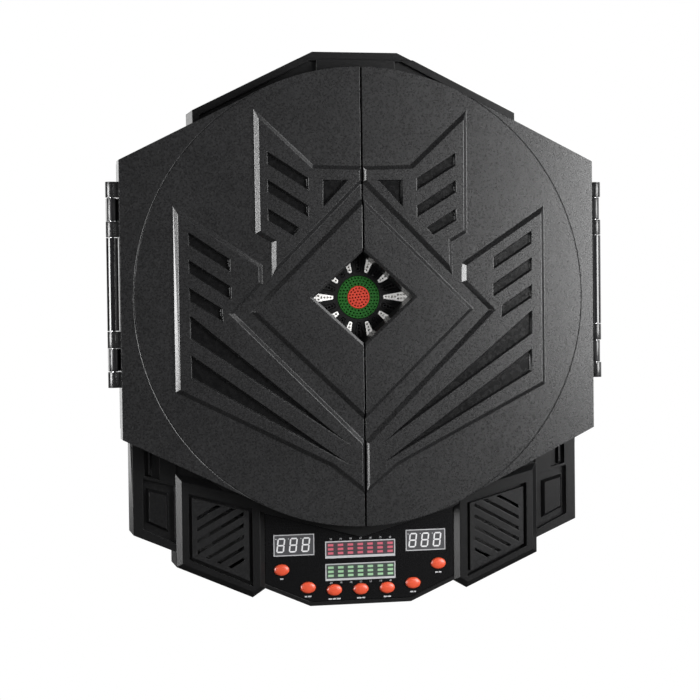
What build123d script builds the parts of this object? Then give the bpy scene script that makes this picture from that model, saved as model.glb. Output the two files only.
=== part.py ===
"""Electronic dartboard in a wall cabinet with two hinged doors.

Frame: +X is the width, +Z is up and the front faces -Y.  The origin is where the
bull's axis meets the wall, so the back of the cabinet lies in the plane Y = 0.
Heights named *_H are distances in front of the wall, so a height h lies at Y = -h.
All sizes are in millimetres.
"""
from build123d import *
from math import acos, atan2, cos, hypot, radians, sin, sqrt
import os

os.makedirs("parts", exist_ok=True)

# ---------------------------------------------------------------- driving sizes
WALL = 2.5                 # shell thickness of the mouldings
COVER_H = 2.5              # front face of the rear cover
CONSOLE_H = 40.0           # front of the console and of the side wings
WING_FLOOR_H = 35.0        # floor of the recesses in the side wings
HOLLOW_H = 36.5            # inside face of the housing front
RIM_H = 44.0               # front rim of the housing behind the doors
POD_H = 44.4               # front of the speaker pods
DOOR_REAR_H = 45.0         # rear edge of the doors
HINGE_H = 54.5             # hinge axis
PLATE_H = 65.0             # flat front of the doors
RELIEF_H = 69.0            # top of the raised panels on the doors
LINER_H = 61.0             # rear face of the door liners

HOUSING_X = 224.0          # outside of the housing where the hinges are
CONSOLE_BOTTOM_Z = -294.0
DISC_R = 216.4             # round top and bottom edge of the doors
DOOR_X = 228.0             # outer edge of a door
DOOR_CORNER_Z = 128.4      # where a door's upright edge meets its sloping edge
SEAM = 1.0                 # half of the gap between the doors
BOSS_R = 223.0             # round raised collar of the housing behind the doors

# target
OPENING_R = 209.4          # round opening in the housing
SPIDER_R = 209.0
SECTORS = 20
SECTOR_ANGLE = 360 / SECTORS
WEB = 3.6                  # thickness of the spider's webs
SEGMENT_GAP = 0.35         # play between a segment and its cell
CORNER_R = 0.8             # rounded corners of the cells
TIP_R = 1.2                # rounder inner corners of the inner singles
SPIDER_FRONT_H = 44.6
SPIDER_REAR_H = 36.0
SEGMENT_FRONT_H = 44.2
BULL_FRONT_H = 44.8
BULL_REAR_H = 36.0
PAD_FRONT_H = 34.6
PAD_REAR_H = 32.2
PAD_R = 196.5
PLATE_FRONT_H = 31.7
PLATE_REAR_H = 27.7
TARGET_PLATE_R = 207.0
OUTER_BULL_R = 20.3
INNER_BULL_R = 10.8
BULL_CELL_R = 20.7
INNER_SINGLE = (24.0, 105.5)
TRIPLE = (108.5, 118.5)
OUTER_SINGLE = (121.5, 183.0)
DOUBLE = (186.0, 196.0)
NUMBER_BAND = (199.0, 208.0)
TAIL_WIDTH = 40.0          # flat cable from the membrane
TAIL_Z = -184.0

# console
FASCIA_SEAT = 1.6
BOARD_H = 30.0             # front face of the display board
BOARD_T = 1.6
BOARD_HALF = [(0, -228), (86, -228), (86, -268.5), (46, -287), (0, -287)]
SWITCH = (6.0, 1.2)        # width and height of a key switch
MAIN_BOARD_H = 10.0
MAIN_BOARD = (148.0, 84.0)
MAIN_BOARD_Z = -206.0
CHIP_T = 1.6
CAPACITOR = (4.0, 9.0)     # radius and height
SOCKET_T = 4.0
CABLE_T = 0.4
MAIN_BOARD_HOLES = [(66, -172), (66, -240)]
DISPLAY_GAP = 0.2
DISPLAY_FRONT_H = 39.3
DISPLAYS = {               # centre and size of each display
    "score_display_left": ((-64.7, -235.0), (39.4, 20.4)),
    "score_display_right": ((64.7, -235.0), (39.4, 20.4)),
    "cricket_display_red": ((0.0, -241.1), (68.8, 16.3)),
    "cricket_display_green": ((0.0, -262.6), (68.8, 16.2)),
}
BUTTON_SIZE = (14.8, 10.8)
BUTTON_GAP = 0.3
BUTTON_TRAVEL = 1.5
BUTTON_RISE = 2.8          # how far a button stands in front of the console
BUTTON_EDGE_R = 2.4
STEM_R = 2.5
COLLAR = (1.5, 1.2)        # how far a button's collar reaches outwards, and its thickness
BUTTON_CENTRES = [(-77.0, -258.2), (-51.6, -276.1), (-26.0, -279.5), (0.0, -279.6),
                  (26.0, -279.5), (51.6, -276.1), (77.0, -258.2)]

# hinges
HINGE_X = 234.0
HINGE_PIN_R = 2.0
PIN_PLAY = 0.05
KNUCKLE_R = 5.5
LUG_R = 4.3
HINGE_GAP = 0.3
KNUCKLES = [(94.2, 109.0), (57.6, 72.6), (-44.4, -28.4), (-80.8, -65.8)]
LUGS = [(72.6, 94.2), (-65.8, -44.4)]
LUG_CENTRES = [(low + high) / 2 for low, high in LUGS]
HINGE_SCREW_H = 31.0
HINGE_SCREW_DZ = 6.0
HINGE_SCREW_R = 1.25
HINGE_SCREW_HEAD = (2.2, 1.4)
HINGE_SCREW_LENGTH = 10.0
BRACKET_T = 3.0
HINGE_BLOCK = (8.0, 10.0, 19.0)

# screws
SCREW_R = 1.45
SCREW_PLAY = 0.05
SCREW_HEAD_R = 2.9
SCREW_HEAD_T = 1.8
COVER_SCREW_LENGTH = 13.0
PLATE_SCREW_LENGTH = 9.0
EAR_SCREW_LENGTH = 8.0
BOARD_SCREW_LENGTH = 7.0
SCREW_TIP_ROOM = 0.5       # how much deeper a screw's hole is than the screw
POST_R = 3.6
COVER_HEAD_R = 3.2
COVER_HEAD_T = 1.2
STRIKE_T = 0.6
MAGNET_T = 3.0
PIN_FIT = 0.02
KNUCKLE_LAP = 0.5
KNUCKLE_WEB = 8.0
BRACKET_REAR_H = 26.0
SOCKET_WIDTH = 5.0
CABLE_REAR_H = MAIN_BOARD_H + BOARD_T + 0.5
CABLE_END = 0.5
FASCIA_PLAY = 0.3
FASCIA_SINK = 0.2
COLLAR_FRONT_H = HOLLOW_H - 0.3
STEM_REAR_H = BOARD_H + SWITCH[1] + BUTTON_TRAVEL + 0.4


# ---------------------------------------------------------------- helpers
def front_plane(height):
    """Plane parallel to the wall at the given height, with local x = +X and local y = +Z."""
    return Plane.XZ.offset(height)


def mirrored(half):
    """Close a right-hand half outline with its mirror image."""
    left = [(-x, z) for x, z in reversed(half) if x > 0]
    return half + left


def side(points, sign):
    """Outline on the right (+1) or on the left (-1)."""
    return [(sign * x, z) for x, z in points]


def save(part, name):
    part.label = name
    export_step(part, "parts/" + name + ".step")


# ---------------------------------------------------------------- outlines, right-hand half
HOUSING_HALF = [(0, 232.7), (41.3, 232.7), (156.8, 176.2), (156.8, 161.8), (224, 128.4),
                (224, -122), (217, -129), (217, -219.7), (177, -237), (177, -251.2),
                (105, -283), (92.8, -275), (49.4, -294), (0, -294)]
UPPER_HALF = [(0, 232.7), (41.3, 232.7), (156.8, 176.2), (156.8, 161.8), (224, 128.4),
              (224, -112), (150, -112), (0, -112)]
FASCIA_HALF = [(0, -170), (92.8, -170), (92.8, -270.7), (48.6, -290.2), (0, -290.2)]
# lower edge of the collar over the console, a shallow V
CHIN_HALF = [(0, -170), (92.8, -170), (92.8, -203.4), (0, -229)]
POD = [(177, -163.5), (177, -251.2), (105, -283), (92.8, -275), (92.8, -185.4)]
POD_DRAFT = 5.2
SPEAKER_OPENING = [(165.5, -182.2), (165.5, -244.2), (105.2, -271.6), (105.2, -198.2)]
SPEAKER_CENTRE = (135.0, -225.0)
GRILLE_MARGIN = 3.2
GRILLE_FLANGE = 3.2
SLOT_RISE = 28.8           # slope of the grille's slots, in degrees
SLOT_PITCH = 10.7          # upright distance between two slots
WING_RECESS = [(207.6, -167), (177.4, -175), (177.4, -229), (207.6, -214.4)]
WING_FLOOR = [(219, -120), (174, -120), (174, -233), (216, -219)]
WING_SLOT = [(206, -124), (191.5, -124), (191.5, -168.6), (206, -164.6)]
WING_PLINTH = [(204, -176), (183.5, -181.6), (183.5, -218.4), (204, -208.6)]
WING_RIB = [(203.6, -122), (198.6, -122), (198.6, -166), (203.6, -164.8)]
WEDGE = [(176, -132), (176, -163.7), (130, -175.4)]
WEDGE_FLOOR_T = 1.5
PLINTH_RISE = (4.6, 2.4)   # height and draft of a wing's plinth
RIB_RISE = (4.0, 1.6)
TOP_RECESS_LAP = 3.5
TOP_RECESS_DEPTH = 4.5
TOP_RECESS = [(38, 224), (44, 224), (150, 171.6), (150, 158), (38, 206)]
KEYHOLE = (150.0, 110.0)
KEYHOLE_ENTRY_R = 5.0
KEYHOLE_SLOT = (10.0, 5.2)
WALL_HOLE = (150.0, -190.0)
WALL_HOLE_R = 2.5
COVER_POSTS = [(35, 224.5), (149, 166), (217.5, 118), (210, -136), (95, -262)]
FRAME_EAR_R = 215.2
TARGET_SCREW_R = 203.0
FLANGE_R = 211.3
EAR = (18.0, 14.0)         # ears that hold the target frame to the housing
EAR_LAP = 5.0
EAR_T = 3.0
PLATE_SCREWS = 8
PLATE_SCREW_START = 22.5
NUMBER_BAND_DEPTH = 0.8
PAD_PLAY = 0.5
TAIL_SLOT = 4.0
STRIKE = (32.0, 5.0)       # strike plate for the door magnets
STRIKE_Z = 212.6
MAGNET = (9.0, 210.2)
MAGNET_R = 2.6
MAGNET_WALL = 1.6
MAGNET_SINK = 0.3
LINER_PLAY = 0.4
LINER_SCREW_R = 1.2
LINER_SCREW_HEAD = (2.4, 1.4)
LINER_SCREW_LENGTH = 2.9
LINER_HOLE_DEPTH = 1.7
LINER_SCREWS = [(210, 108), (210, -108), (118, 160), (118, -160), (70, 4), (215, 0)]
RACK_DARTS = [115.0, 145.0, 175.0]
RACK_TOP_Z = 6.0
RACK_BOTTOM_Z = -70.0
RACK_STRIP_T = 2.0
RACK_BAR = 8.0
RACK_NOTCH = 6.6           # a little less than a dart's barrel, which snaps in
RACK_DEPTH = 10.5
JACK_X = 30.0
JACK_H = 14.0
JACK_NOSE_R = 4.2
JACK_BORE_R = 3.0
JACK_DEPTH = 10.0
JACK_BODY = (12.0, 12.0, 13.0)
JACK_PLAY = 0.15
HARNESS_Z = -238.0
HARNESS_WIDTH = 30.0
SLOT_TOP_Z = -193.4        # height of the first slot's middle line at the speaker's axis
SLOT_WIDTH = 3.0
SLOT_REACH = 140.0
SLOTS = 7
VENT = (34.0, 3.0)
VENT_PITCH = 7.0
GRILLE_T = 2.0
GRILLE_FRONT_H = POD_H - 1.0
SPEAKER_PROFILE = [(0, 8.0), (9, 8.0), (22.0, 1.6), (25.5, 0), (28, 0), (28, 2.4), (24, 2.6),
                   (14, 11), (14, 20), (0, 20)]
SLOT_FIELD = [(157.6, -189.6), (157.6, -239.6), (113.3, -259.6), (113.3, -200.0)]
GROOVE_ZONE = [(97, 193), (240, 130), (240, -130), (97, -193)]

WINDOW = (48.0, 43.6)      # half diagonals of the window
WINDOW_BEVEL = 3.6         # the bevel round it makes them this much longer
WINDOW_BEVEL_DEPTH = 1.8
WINDOW_FRAME = 3.4
# the raised panels run past the seam and are then trimmed to it
UPPER_WING = [(-5, 122.8), (46.7, 124.2), (102.3, 176), (101.8, 60.3), (86.9, 51.6),
              (87.3, 20), (-5, 113)]
OUTER_WING = [(96.3, 31.2), (178.6, 85.6), (178.6, -85.4), (32.8, -159), (-5, -189.9),
              (-5, -141), (123.2, -13.5), (96.2, 13.3)]
DIAMOND = [(-5, 98.3), (107.6, -12.4), (-5, -120.4)]
SEAM_TRIM = 8.0
SEAM_BEVEL = (2.3, 2.5)    # width and depth of the bevel where the wings meet the seam
SEAM_BEVEL_Z = [(-200, -128), (102, 130)]
RELIEF_DRAFT = 3.8
LOUVRE_DRAFT = 1.2
GROOVE = (0.9, 0.8)        # width and depth of the round groove
LOUVRES = [
    [(52.1, 111.6), (90.7, 136.2), (90.7, 124.2), (52.1, 100.4)],
    [(52.1, 85.6), (90.7, 110.2), (90.7, 98.8), (52.1, 75.0)],
    [(60.7, 65.2), (90.7, 83.6), (90.7, 72.0), (67.2, 58.0)],
    [(13.9, 110.2), (38.5, 110.2), (38.5, 84.4)],
    [(126.9, 36.7), (165.4, 62.0), (165.4, 50.0), (126.9, 25.2)],
    [(126.1, 11.1), (165.3, 36.4), (165.3, 24.2), (126.1, -1.2)],
    [(134.8, -9.0), (165.2, 10.6), (165.2, -1.8), (133.9, -21.4)],
    [(164.9, -14.4), (164.9, -36.4), (18.5, -136.2)],
    [(164.4, -51.2), (164.4, -72.6), (17.4, -156.2)],
]


# ---------------------------------------------------------------- shapes used more than once
def draft_block(points, base_h, height, draft):
    """Block on the given outline whose sides lean inwards by draft over its height."""
    with BuildPart() as block:
        with BuildSketch(front_plane(base_h)):
            Polygon(*points, align=None)
        with BuildSketch(front_plane(base_h + height)):
            Polygon(*points, align=None)
            offset(amount=-draft, kind=Kind.INTERSECTION, mode=Mode.REPLACE)
        loft()
    return block.part


def diamond(half_x, half_z):
    """Outline of a diamond centred on the bull's axis."""
    return [(half_x, 0), (0, half_z), (-half_x, 0), (0, -half_z)]


def both_sides(points):
    """The same points on the right and on the left."""
    return [(s * x, z) for s in (1, -1) for x, z in points]


# ---------------------------------------------------------------- housing front
pods = [draft_block(side(POD, s), CONSOLE_H, POD_H - CONSOLE_H, POD_DRAFT) for s in (1, -1)]
plinths = [draft_block(side(WING_PLINTH, s), WING_FLOOR_H, *PLINTH_RISE) for s in (1, -1)]
ribs = [draft_block(side(WING_RIB, s), WING_FLOOR_H, *RIB_RISE) for s in (1, -1)]

with BuildPart() as housing_front:
    with BuildSketch(front_plane(COVER_H)):
        Polygon(*mirrored(HOUSING_HALF), align=None)
    extrude(amount=CONSOLE_H - COVER_H)
    with BuildSketch(front_plane(CONSOLE_H)):
        Polygon(*mirrored(UPPER_HALF), align=None)
        Circle(BOSS_R)
        Rectangle(2 * HOUSING_X, 2 * (BOSS_R + WALL), mode=Mode.INTERSECT)
        Polygon(*mirrored(FASCIA_HALF), align=None, mode=Mode.SUBTRACT)
        Polygon(*mirrored(CHIN_HALF), align=None)
    extrude(amount=RIM_H - CONSOLE_H)
    for pod in pods:
        add(pod)
    with BuildSketch(front_plane(COVER_H)):
        Polygon(*mirrored(HOUSING_HALF), align=None)
        offset(amount=-WALL, kind=Kind.INTERSECTION, mode=Mode.REPLACE)
    extrude(amount=HOLLOW_H - COVER_H, mode=Mode.SUBTRACT)
    with BuildSketch(front_plane(HOLLOW_H)):
        Circle(OPENING_R)
    extrude(amount=RIM_H - HOLLOW_H, mode=Mode.SUBTRACT)
    # seat of the console fascia, with windows for the displays and the buttons
    with BuildSketch(front_plane(CONSOLE_H)):
        Polygon(*mirrored(FASCIA_HALF), align=None)
        Polygon(*mirrored(CHIN_HALF), align=None, mode=Mode.SUBTRACT)
    extrude(amount=-FASCIA_SEAT, mode=Mode.SUBTRACT)
    with BuildSketch(front_plane(HOLLOW_H)):
        for centre, size in DISPLAYS.values():
            with Locations(centre):
                Rectangle(size[0] + 2 * DISPLAY_GAP, size[1] + 2 * DISPLAY_GAP)
        with Locations(*BUTTON_CENTRES):
            Ellipse(BUTTON_SIZE[0] / 2 + BUTTON_GAP, BUTTON_SIZE[1] / 2 + BUTTON_GAP)
    extrude(amount=CONSOLE_H - HOLLOW_H, mode=Mode.SUBTRACT)
    # side wings: a deeper floor behind the recesses, then the recesses and what stands in them
    with BuildSketch(front_plane(WING_FLOOR_H - WALL)):
        for s in (1, -1):
            Polygon(*side(WING_FLOOR, s), align=None)
    extrude(amount=HOLLOW_H - WING_FLOOR_H + WALL)
    with BuildSketch(front_plane(CONSOLE_H)):
        for s in (1, -1):
            Polygon(*side(WING_RECESS, s), align=None)
            Polygon(*side(WING_SLOT, s), align=None)
    extrude(amount=WING_FLOOR_H - CONSOLE_H, mode=Mode.SUBTRACT)
    for piece in plinths + ribs:
        add(piece)
    # speaker wells, the dark gaps above the pods and the ledges above the doors
    for s in (1, -1):
        with BuildSketch(front_plane(POD_H)):
            Polygon(*side(SPEAKER_OPENING, s), align=None)
        extrude(amount=HOLLOW_H - POD_H, mode=Mode.SUBTRACT)
        with BuildSketch(front_plane(RIM_H)):
            Polygon(*side(WEDGE, s), align=None)
            Circle(BOSS_R, mode=Mode.SUBTRACT)
        extrude(amount=HOLLOW_H + WEDGE_FLOOR_T - RIM_H, mode=Mode.SUBTRACT)
        with BuildSketch(front_plane(RIM_H)):
            Polygon(*side(TOP_RECESS, s), align=None)
            Circle(DISC_R - TOP_RECESS_LAP, mode=Mode.SUBTRACT)
        extrude(amount=-TOP_RECESS_DEPTH, mode=Mode.SUBTRACT)
    # screw posts for the rear cover
    with BuildSketch(front_plane(COVER_H)):
        with Locations(*both_sides(COVER_POSTS)):
            Circle(POST_R)
    extrude(amount=WING_FLOOR_H - COVER_H)
    with BuildSketch(front_plane(WING_FLOOR_H)):
        with Locations(*both_sides(COVER_POSTS)):
            Circle(POST_R)
    extrude(amount=HOLLOW_H - WING_FLOOR_H)
    with BuildSketch(front_plane(COVER_H)):
        with Locations(*both_sides(COVER_POSTS)):
            Circle(SCREW_R + SCREW_PLAY)
    extrude(amount=COVER_SCREW_LENGTH, mode=Mode.SUBTRACT)
    # blind holes for the screws that hold the target frame
    with BuildSketch(front_plane(HOLLOW_H)):
        with PolarLocations(FRAME_EAR_R, 4):
            Circle(SCREW_R + SCREW_PLAY)
    extrude(amount=EAR_SCREW_LENGTH - EAR_T + SCREW_TIP_ROOM, mode=Mode.SUBTRACT)
    # shallow seats for the strike plates
    with BuildSketch(front_plane(RIM_H)):
        with Locations((0, STRIKE_Z), (0, -STRIKE_Z)):
            Rectangle(*STRIKE)
    extrude(amount=-STRIKE_T, mode=Mode.SUBTRACT)
    # blocks inside the side walls that take the hinge screws
    block_x = HOUSING_X - WALL - HINGE_BLOCK[0] / 2
    for z in LUG_CENTRES:
        with Locations((block_x, -HINGE_SCREW_H, z), (-block_x, -HINGE_SCREW_H, z)):
            Box(*HINGE_BLOCK)
        for s in (1, -1):
            for dz in (-HINGE_SCREW_DZ, HINGE_SCREW_DZ):
                with BuildSketch(Plane.YZ.offset(s * HOUSING_X)):
                    with Locations((-HINGE_SCREW_H, z + dz)):
                        Circle(HINGE_SCREW_R + SCREW_PLAY)
                extrude(amount=-s * (HINGE_SCREW_LENGTH - BRACKET_T + SCREW_TIP_ROOM), mode=Mode.SUBTRACT)
    # hole for the power jack in the bottom wall
    with BuildSketch(Plane.XY.offset(CONSOLE_BOTTOM_Z)):
        with Locations((JACK_X, -JACK_H)):
            Circle(JACK_NOSE_R + JACK_PLAY)
    extrude(amount=WALL, mode=Mode.SUBTRACT)
save(housing_front.part, "housing_front")

# ---------------------------------------------------------------- rear cover and its screws
with BuildPart() as rear_cover:
    with BuildSketch(front_plane(0)):
        Polygon(*mirrored(HOUSING_HALF), align=None)
    extrude(amount=COVER_H)
    # keyholes: a round entry below a narrow slot for the neck of a wall screw
    with BuildSketch(front_plane(0)):
        with Locations(*both_sides([KEYHOLE])):
            Circle(KEYHOLE_ENTRY_R)
        with Locations(*both_sides([(KEYHOLE[0], KEYHOLE[1] + KEYHOLE_SLOT[0] / 2)])):
            SlotCenterToCenter(*KEYHOLE_SLOT, rotation=90)
        with Locations(*both_sides([WALL_HOLE])):
            Circle(WALL_HOLE_R)
        with Locations(*both_sides(COVER_POSTS)):
            Circle(SCREW_R + SCREW_PLAY)
    extrude(amount=COVER_H, mode=Mode.SUBTRACT)
    with BuildSketch(front_plane(0)):
        with Locations(*both_sides(COVER_POSTS)):
            Circle(COVER_HEAD_R + 2 * SCREW_PLAY)
    extrude(amount=COVER_HEAD_T, mode=Mode.SUBTRACT)
    # standoffs for the main board
    with BuildSketch(front_plane(COVER_H)):
        with Locations(*both_sides(MAIN_BOARD_HOLES)):
            Circle(POST_R)
    extrude(amount=MAIN_BOARD_H - COVER_H)
    with BuildSketch(front_plane(COVER_H)):
        with Locations(*both_sides(MAIN_BOARD_HOLES)):
            Circle(SCREW_R + SCREW_PLAY)
    extrude(amount=MAIN_BOARD_H - COVER_H, mode=Mode.SUBTRACT)
    # vents behind the loudspeakers
    with BuildSketch(front_plane(0)):
        with Locations(*both_sides([SPEAKER_CENTRE])):
            with GridLocations(0, VENT_PITCH, 1, 5):
                SlotOverall(*VENT)
    extrude(amount=COVER_H, mode=Mode.SUBTRACT)
save(rear_cover.part, "rear_cover")

with BuildPart() as rear_screws:
    with BuildSketch(front_plane(0)):
        with Locations(*both_sides(COVER_POSTS)):
            Circle(COVER_HEAD_R)
    extrude(amount=COVER_HEAD_T)
    with BuildSketch(front_plane(COVER_HEAD_T)):
        with Locations(*both_sides(COVER_POSTS)):
            Circle(SCREW_R)
    extrude(amount=COVER_SCREW_LENGTH)
save(rear_screws.part, "rear_screws")


# ---------------------------------------------------------------- target
def sector_cells(inner_r, outer_r, shrink, first, step):
    """Ring sectors between the spider's webs, made smaller all round by shrink."""
    half = SECTOR_ANGLE / 2
    apex = (WEB / 2 + shrink) / sin(radians(half))
    reach = SPIDER_R
    wedge = [(apex, 0), (apex + reach * cos(radians(half)), reach * sin(radians(half))),
             (apex + reach * cos(radians(half)), -reach * sin(radians(half)))]
    with BuildSketch(Plane.XY, mode=Mode.PRIVATE) as cell:
        Circle(outer_r - shrink)
        Circle(inner_r + shrink, mode=Mode.SUBTRACT)
        Polygon(*wedge, align=None, mode=Mode.INTERSECT)
        corners = cell.vertices().sort_by(Axis.X)
        tip = TIP_R if inner_r == INNER_SINGLE[0] else CORNER_R
        fillet(corners[:2], radius=tip)
        corners = cell.vertices().sort_by(Axis.X)
        fillet(corners[-2:], radius=CORNER_R)
    angles = [90 - SECTOR_ANGLE * k for k in range(first, SECTORS, step)]
    return [cell.sketch.rotate(Axis.Z, angle) for angle in angles]


def target_segments(zone, first, name):
    """The ten segments of one colour in one ring: sectors first, first + 2 and so on."""
    with BuildPart() as segments:
        with BuildSketch(front_plane(PAD_FRONT_H)):
            add(sector_cells(zone[0], zone[1], SEGMENT_GAP, first, 2))
        extrude(amount=SEGMENT_FRONT_H - PAD_FRONT_H)
    save(segments.part, name)


for zone, ring in ((INNER_SINGLE, "inner_single"), (OUTER_SINGLE, "outer_single")):
    target_segments(zone, 0, ring + "_black")
    target_segments(zone, 1, ring + "_white")
for zone, ring in ((TRIPLE, "triple"), (DOUBLE, "double")):
    target_segments(zone, 0, ring + "_red")
    target_segments(zone, 1, ring + "_green")

with BuildPart() as outer_bull:
    with BuildSketch(front_plane(BULL_REAR_H)):
        Circle(OUTER_BULL_R)
        Circle(INNER_BULL_R + SEGMENT_GAP, mode=Mode.SUBTRACT)
    extrude(amount=BULL_FRONT_H - BULL_REAR_H)
save(outer_bull.part, "outer_bull")

with BuildPart() as inner_bull:
    with BuildSketch(front_plane(BULL_REAR_H)):
        Circle(INNER_BULL_R)
    extrude(amount=BULL_FRONT_H - BULL_REAR_H)
save(inner_bull.part, "inner_bull")

with BuildPart() as spider_frame:
    with BuildSketch(front_plane(SPIDER_REAR_H)):
        Circle(SPIDER_R)
        Circle(BULL_CELL_R, mode=Mode.SUBTRACT)
        for zone in (INNER_SINGLE, TRIPLE, OUTER_SINGLE, DOUBLE):
            add(sector_cells(zone[0], zone[1], 0, 0, 1), mode=Mode.SUBTRACT)
    extrude(amount=SPIDER_FRONT_H - SPIDER_REAR_H)
    # sunk band for the numbers
    with BuildSketch(front_plane(SPIDER_FRONT_H)):
        Circle(NUMBER_BAND[1])
        Circle(NUMBER_BAND[0], mode=Mode.SUBTRACT)
    extrude(amount=-NUMBER_BAND_DEPTH, mode=Mode.SUBTRACT)
    # rear ring that the backing plate is screwed to, and the flange and ears behind the housing
    with BuildSketch(front_plane(PLATE_FRONT_H)):
        Circle(SPIDER_R)
        Circle(PAD_R + PAD_PLAY, mode=Mode.SUBTRACT)
    extrude(amount=SPIDER_REAR_H - PLATE_FRONT_H)
    with BuildSketch(front_plane(HOLLOW_H)):
        Circle(FLANGE_R)
        with PolarLocations(FRAME_EAR_R - EAR_LAP, 4):
            Rectangle(*EAR)
        Circle(PAD_R + PAD_PLAY, mode=Mode.SUBTRACT)
    extrude(amount=-EAR_T)
    with BuildSketch(front_plane(HOLLOW_H - EAR_T)):
        with PolarLocations(FRAME_EAR_R, 4):
            Circle(SCREW_R + SCREW_PLAY)
    extrude(amount=EAR_T, mode=Mode.SUBTRACT)
    with BuildSketch(front_plane(PLATE_FRONT_H)):
        with PolarLocations(TARGET_SCREW_R, PLATE_SCREWS, start_angle=PLATE_SCREW_START):
            Circle(SCREW_R + SCREW_PLAY)
    extrude(amount=PLATE_SCREW_LENGTH - PLATE_FRONT_H + PLATE_REAR_H + SCREW_TIP_ROOM, mode=Mode.SUBTRACT)
save(spider_frame.part, "spider_frame")

with BuildPart() as rubber_pad:
    with BuildSketch(front_plane(PAD_REAR_H)):
        Circle(PAD_R)
    extrude(amount=PAD_FRONT_H - PAD_REAR_H)
save(rubber_pad.part, "rubber_pad")

with BuildPart() as sensor_membrane:
    with BuildSketch(front_plane(PLATE_FRONT_H)):
        Circle(PAD_R)
    extrude(amount=PAD_REAR_H - PLATE_FRONT_H)
save(sensor_membrane.part, "sensor_membrane")

with BuildPart() as backing_plate:
    with BuildSketch(front_plane(PLATE_REAR_H)):
        Circle(TARGET_PLATE_R)
        with PolarLocations(TARGET_SCREW_R, PLATE_SCREWS, start_angle=PLATE_SCREW_START):
            Circle(SCREW_R + SCREW_PLAY, mode=Mode.SUBTRACT)
        with Locations((0, TAIL_Z)):
            Rectangle(TAIL_WIDTH + 4, TAIL_SLOT, mode=Mode.SUBTRACT)
    extrude(amount=PLATE_FRONT_H - PLATE_REAR_H)
save(backing_plate.part, "backing_plate")

with BuildPart() as target_screws:
    # eight hold the backing plate to the frame
    with BuildSketch(front_plane(PLATE_REAR_H)):
        with PolarLocations(TARGET_SCREW_R, PLATE_SCREWS, start_angle=PLATE_SCREW_START):
            Circle(SCREW_R)
    extrude(amount=PLATE_SCREW_LENGTH)
    with BuildSketch(front_plane(PLATE_REAR_H)):
        with PolarLocations(TARGET_SCREW_R, PLATE_SCREWS, start_angle=PLATE_SCREW_START):
            Circle(SCREW_HEAD_R)
    extrude(amount=-SCREW_HEAD_T)
    # four hold the frame's ears to the housing
    with BuildSketch(front_plane(HOLLOW_H - EAR_T)):
        with PolarLocations(FRAME_EAR_R, 4):
            Circle(SCREW_R)
    extrude(amount=EAR_SCREW_LENGTH)
    with BuildSketch(front_plane(HOLLOW_H - EAR_T)):
        with PolarLocations(FRAME_EAR_R, 4):
            Circle(SCREW_HEAD_R)
    extrude(amount=-SCREW_HEAD_T)
save(target_screws.part, "target_screws")

with BuildPart() as strike_plates:
    with BuildSketch(front_plane(RIM_H - STRIKE_T)):
        with Locations((0, STRIKE_Z), (0, -STRIKE_Z)):
            Rectangle(STRIKE[0] - 0.2, STRIKE[1] - 0.2)
    extrude(amount=STRIKE_T)
save(strike_plates.part, "strike_plates")

# ---------------------------------------------------------------- electronics and console
with BuildPart() as display_board:
    with BuildSketch(front_plane(BOARD_H)):
        Polygon(*mirrored(BOARD_HALF), align=None)
    extrude(amount=-BOARD_T)
    # plug for the flat cable to the main board
    with BuildSketch(front_plane(BOARD_H - BOARD_T)):
        with Locations((0, HARNESS_Z)):
            Rectangle(HARNESS_WIDTH + 4, SOCKET_WIDTH)
            Rectangle(HARNESS_WIDTH + 0.2, CABLE_T + 0.2, mode=Mode.SUBTRACT)
    extrude(amount=-SOCKET_T)
save(display_board.part, "display_board")

for name, (centre, size) in DISPLAYS.items():
    with BuildPart() as display:
        with BuildSketch(front_plane(BOARD_H)):
            with Locations(centre):
                Rectangle(*size)
        extrude(amount=DISPLAY_FRONT_H - BOARD_H)
    save(display.part, name)

with BuildPart() as key_switches:
    with BuildSketch(front_plane(BOARD_H)):
        with Locations(*BUTTON_CENTRES):
            Rectangle(SWITCH[0], SWITCH[0])
    extrude(amount=SWITCH[1])
save(key_switches.part, "key_switches")

with BuildPart() as main_board:
    with BuildSketch(front_plane(MAIN_BOARD_H)):
        with Locations((0, MAIN_BOARD_Z)):
            Rectangle(*MAIN_BOARD)
        with Locations(*both_sides(MAIN_BOARD_HOLES)):
            Circle(SCREW_R + SCREW_PLAY, mode=Mode.SUBTRACT)
    extrude(amount=BOARD_T)
    # processor, sound chip and capacitors
    with BuildSketch(front_plane(MAIN_BOARD_H + BOARD_T)):
        with Locations((-20, -212)):
            Rectangle(22, 22)
        with Locations((24, -214)):
            Rectangle(10, 14)
    extrude(amount=CHIP_T)
    with BuildSketch(front_plane(MAIN_BOARD_H + BOARD_T)):
        with Locations((44, -206), (44, -220), (-52, -204)):
            Circle(CAPACITOR[0])
    extrude(amount=CAPACITOR[1])
    # sockets for the two flat cables
    with BuildSketch(front_plane(MAIN_BOARD_H + BOARD_T)):
        with Locations((0, TAIL_Z)):
            Rectangle(TAIL_WIDTH + 4, SOCKET_WIDTH)
            Rectangle(TAIL_WIDTH + 0.2, CABLE_T + 0.2, mode=Mode.SUBTRACT)
        with Locations((0, HARNESS_Z)):
            Rectangle(HARNESS_WIDTH + 4, SOCKET_WIDTH)
            Rectangle(HARNESS_WIDTH + 0.2, CABLE_T + 0.2, mode=Mode.SUBTRACT)
    extrude(amount=SOCKET_T)
save(main_board.part, "main_board")

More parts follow.
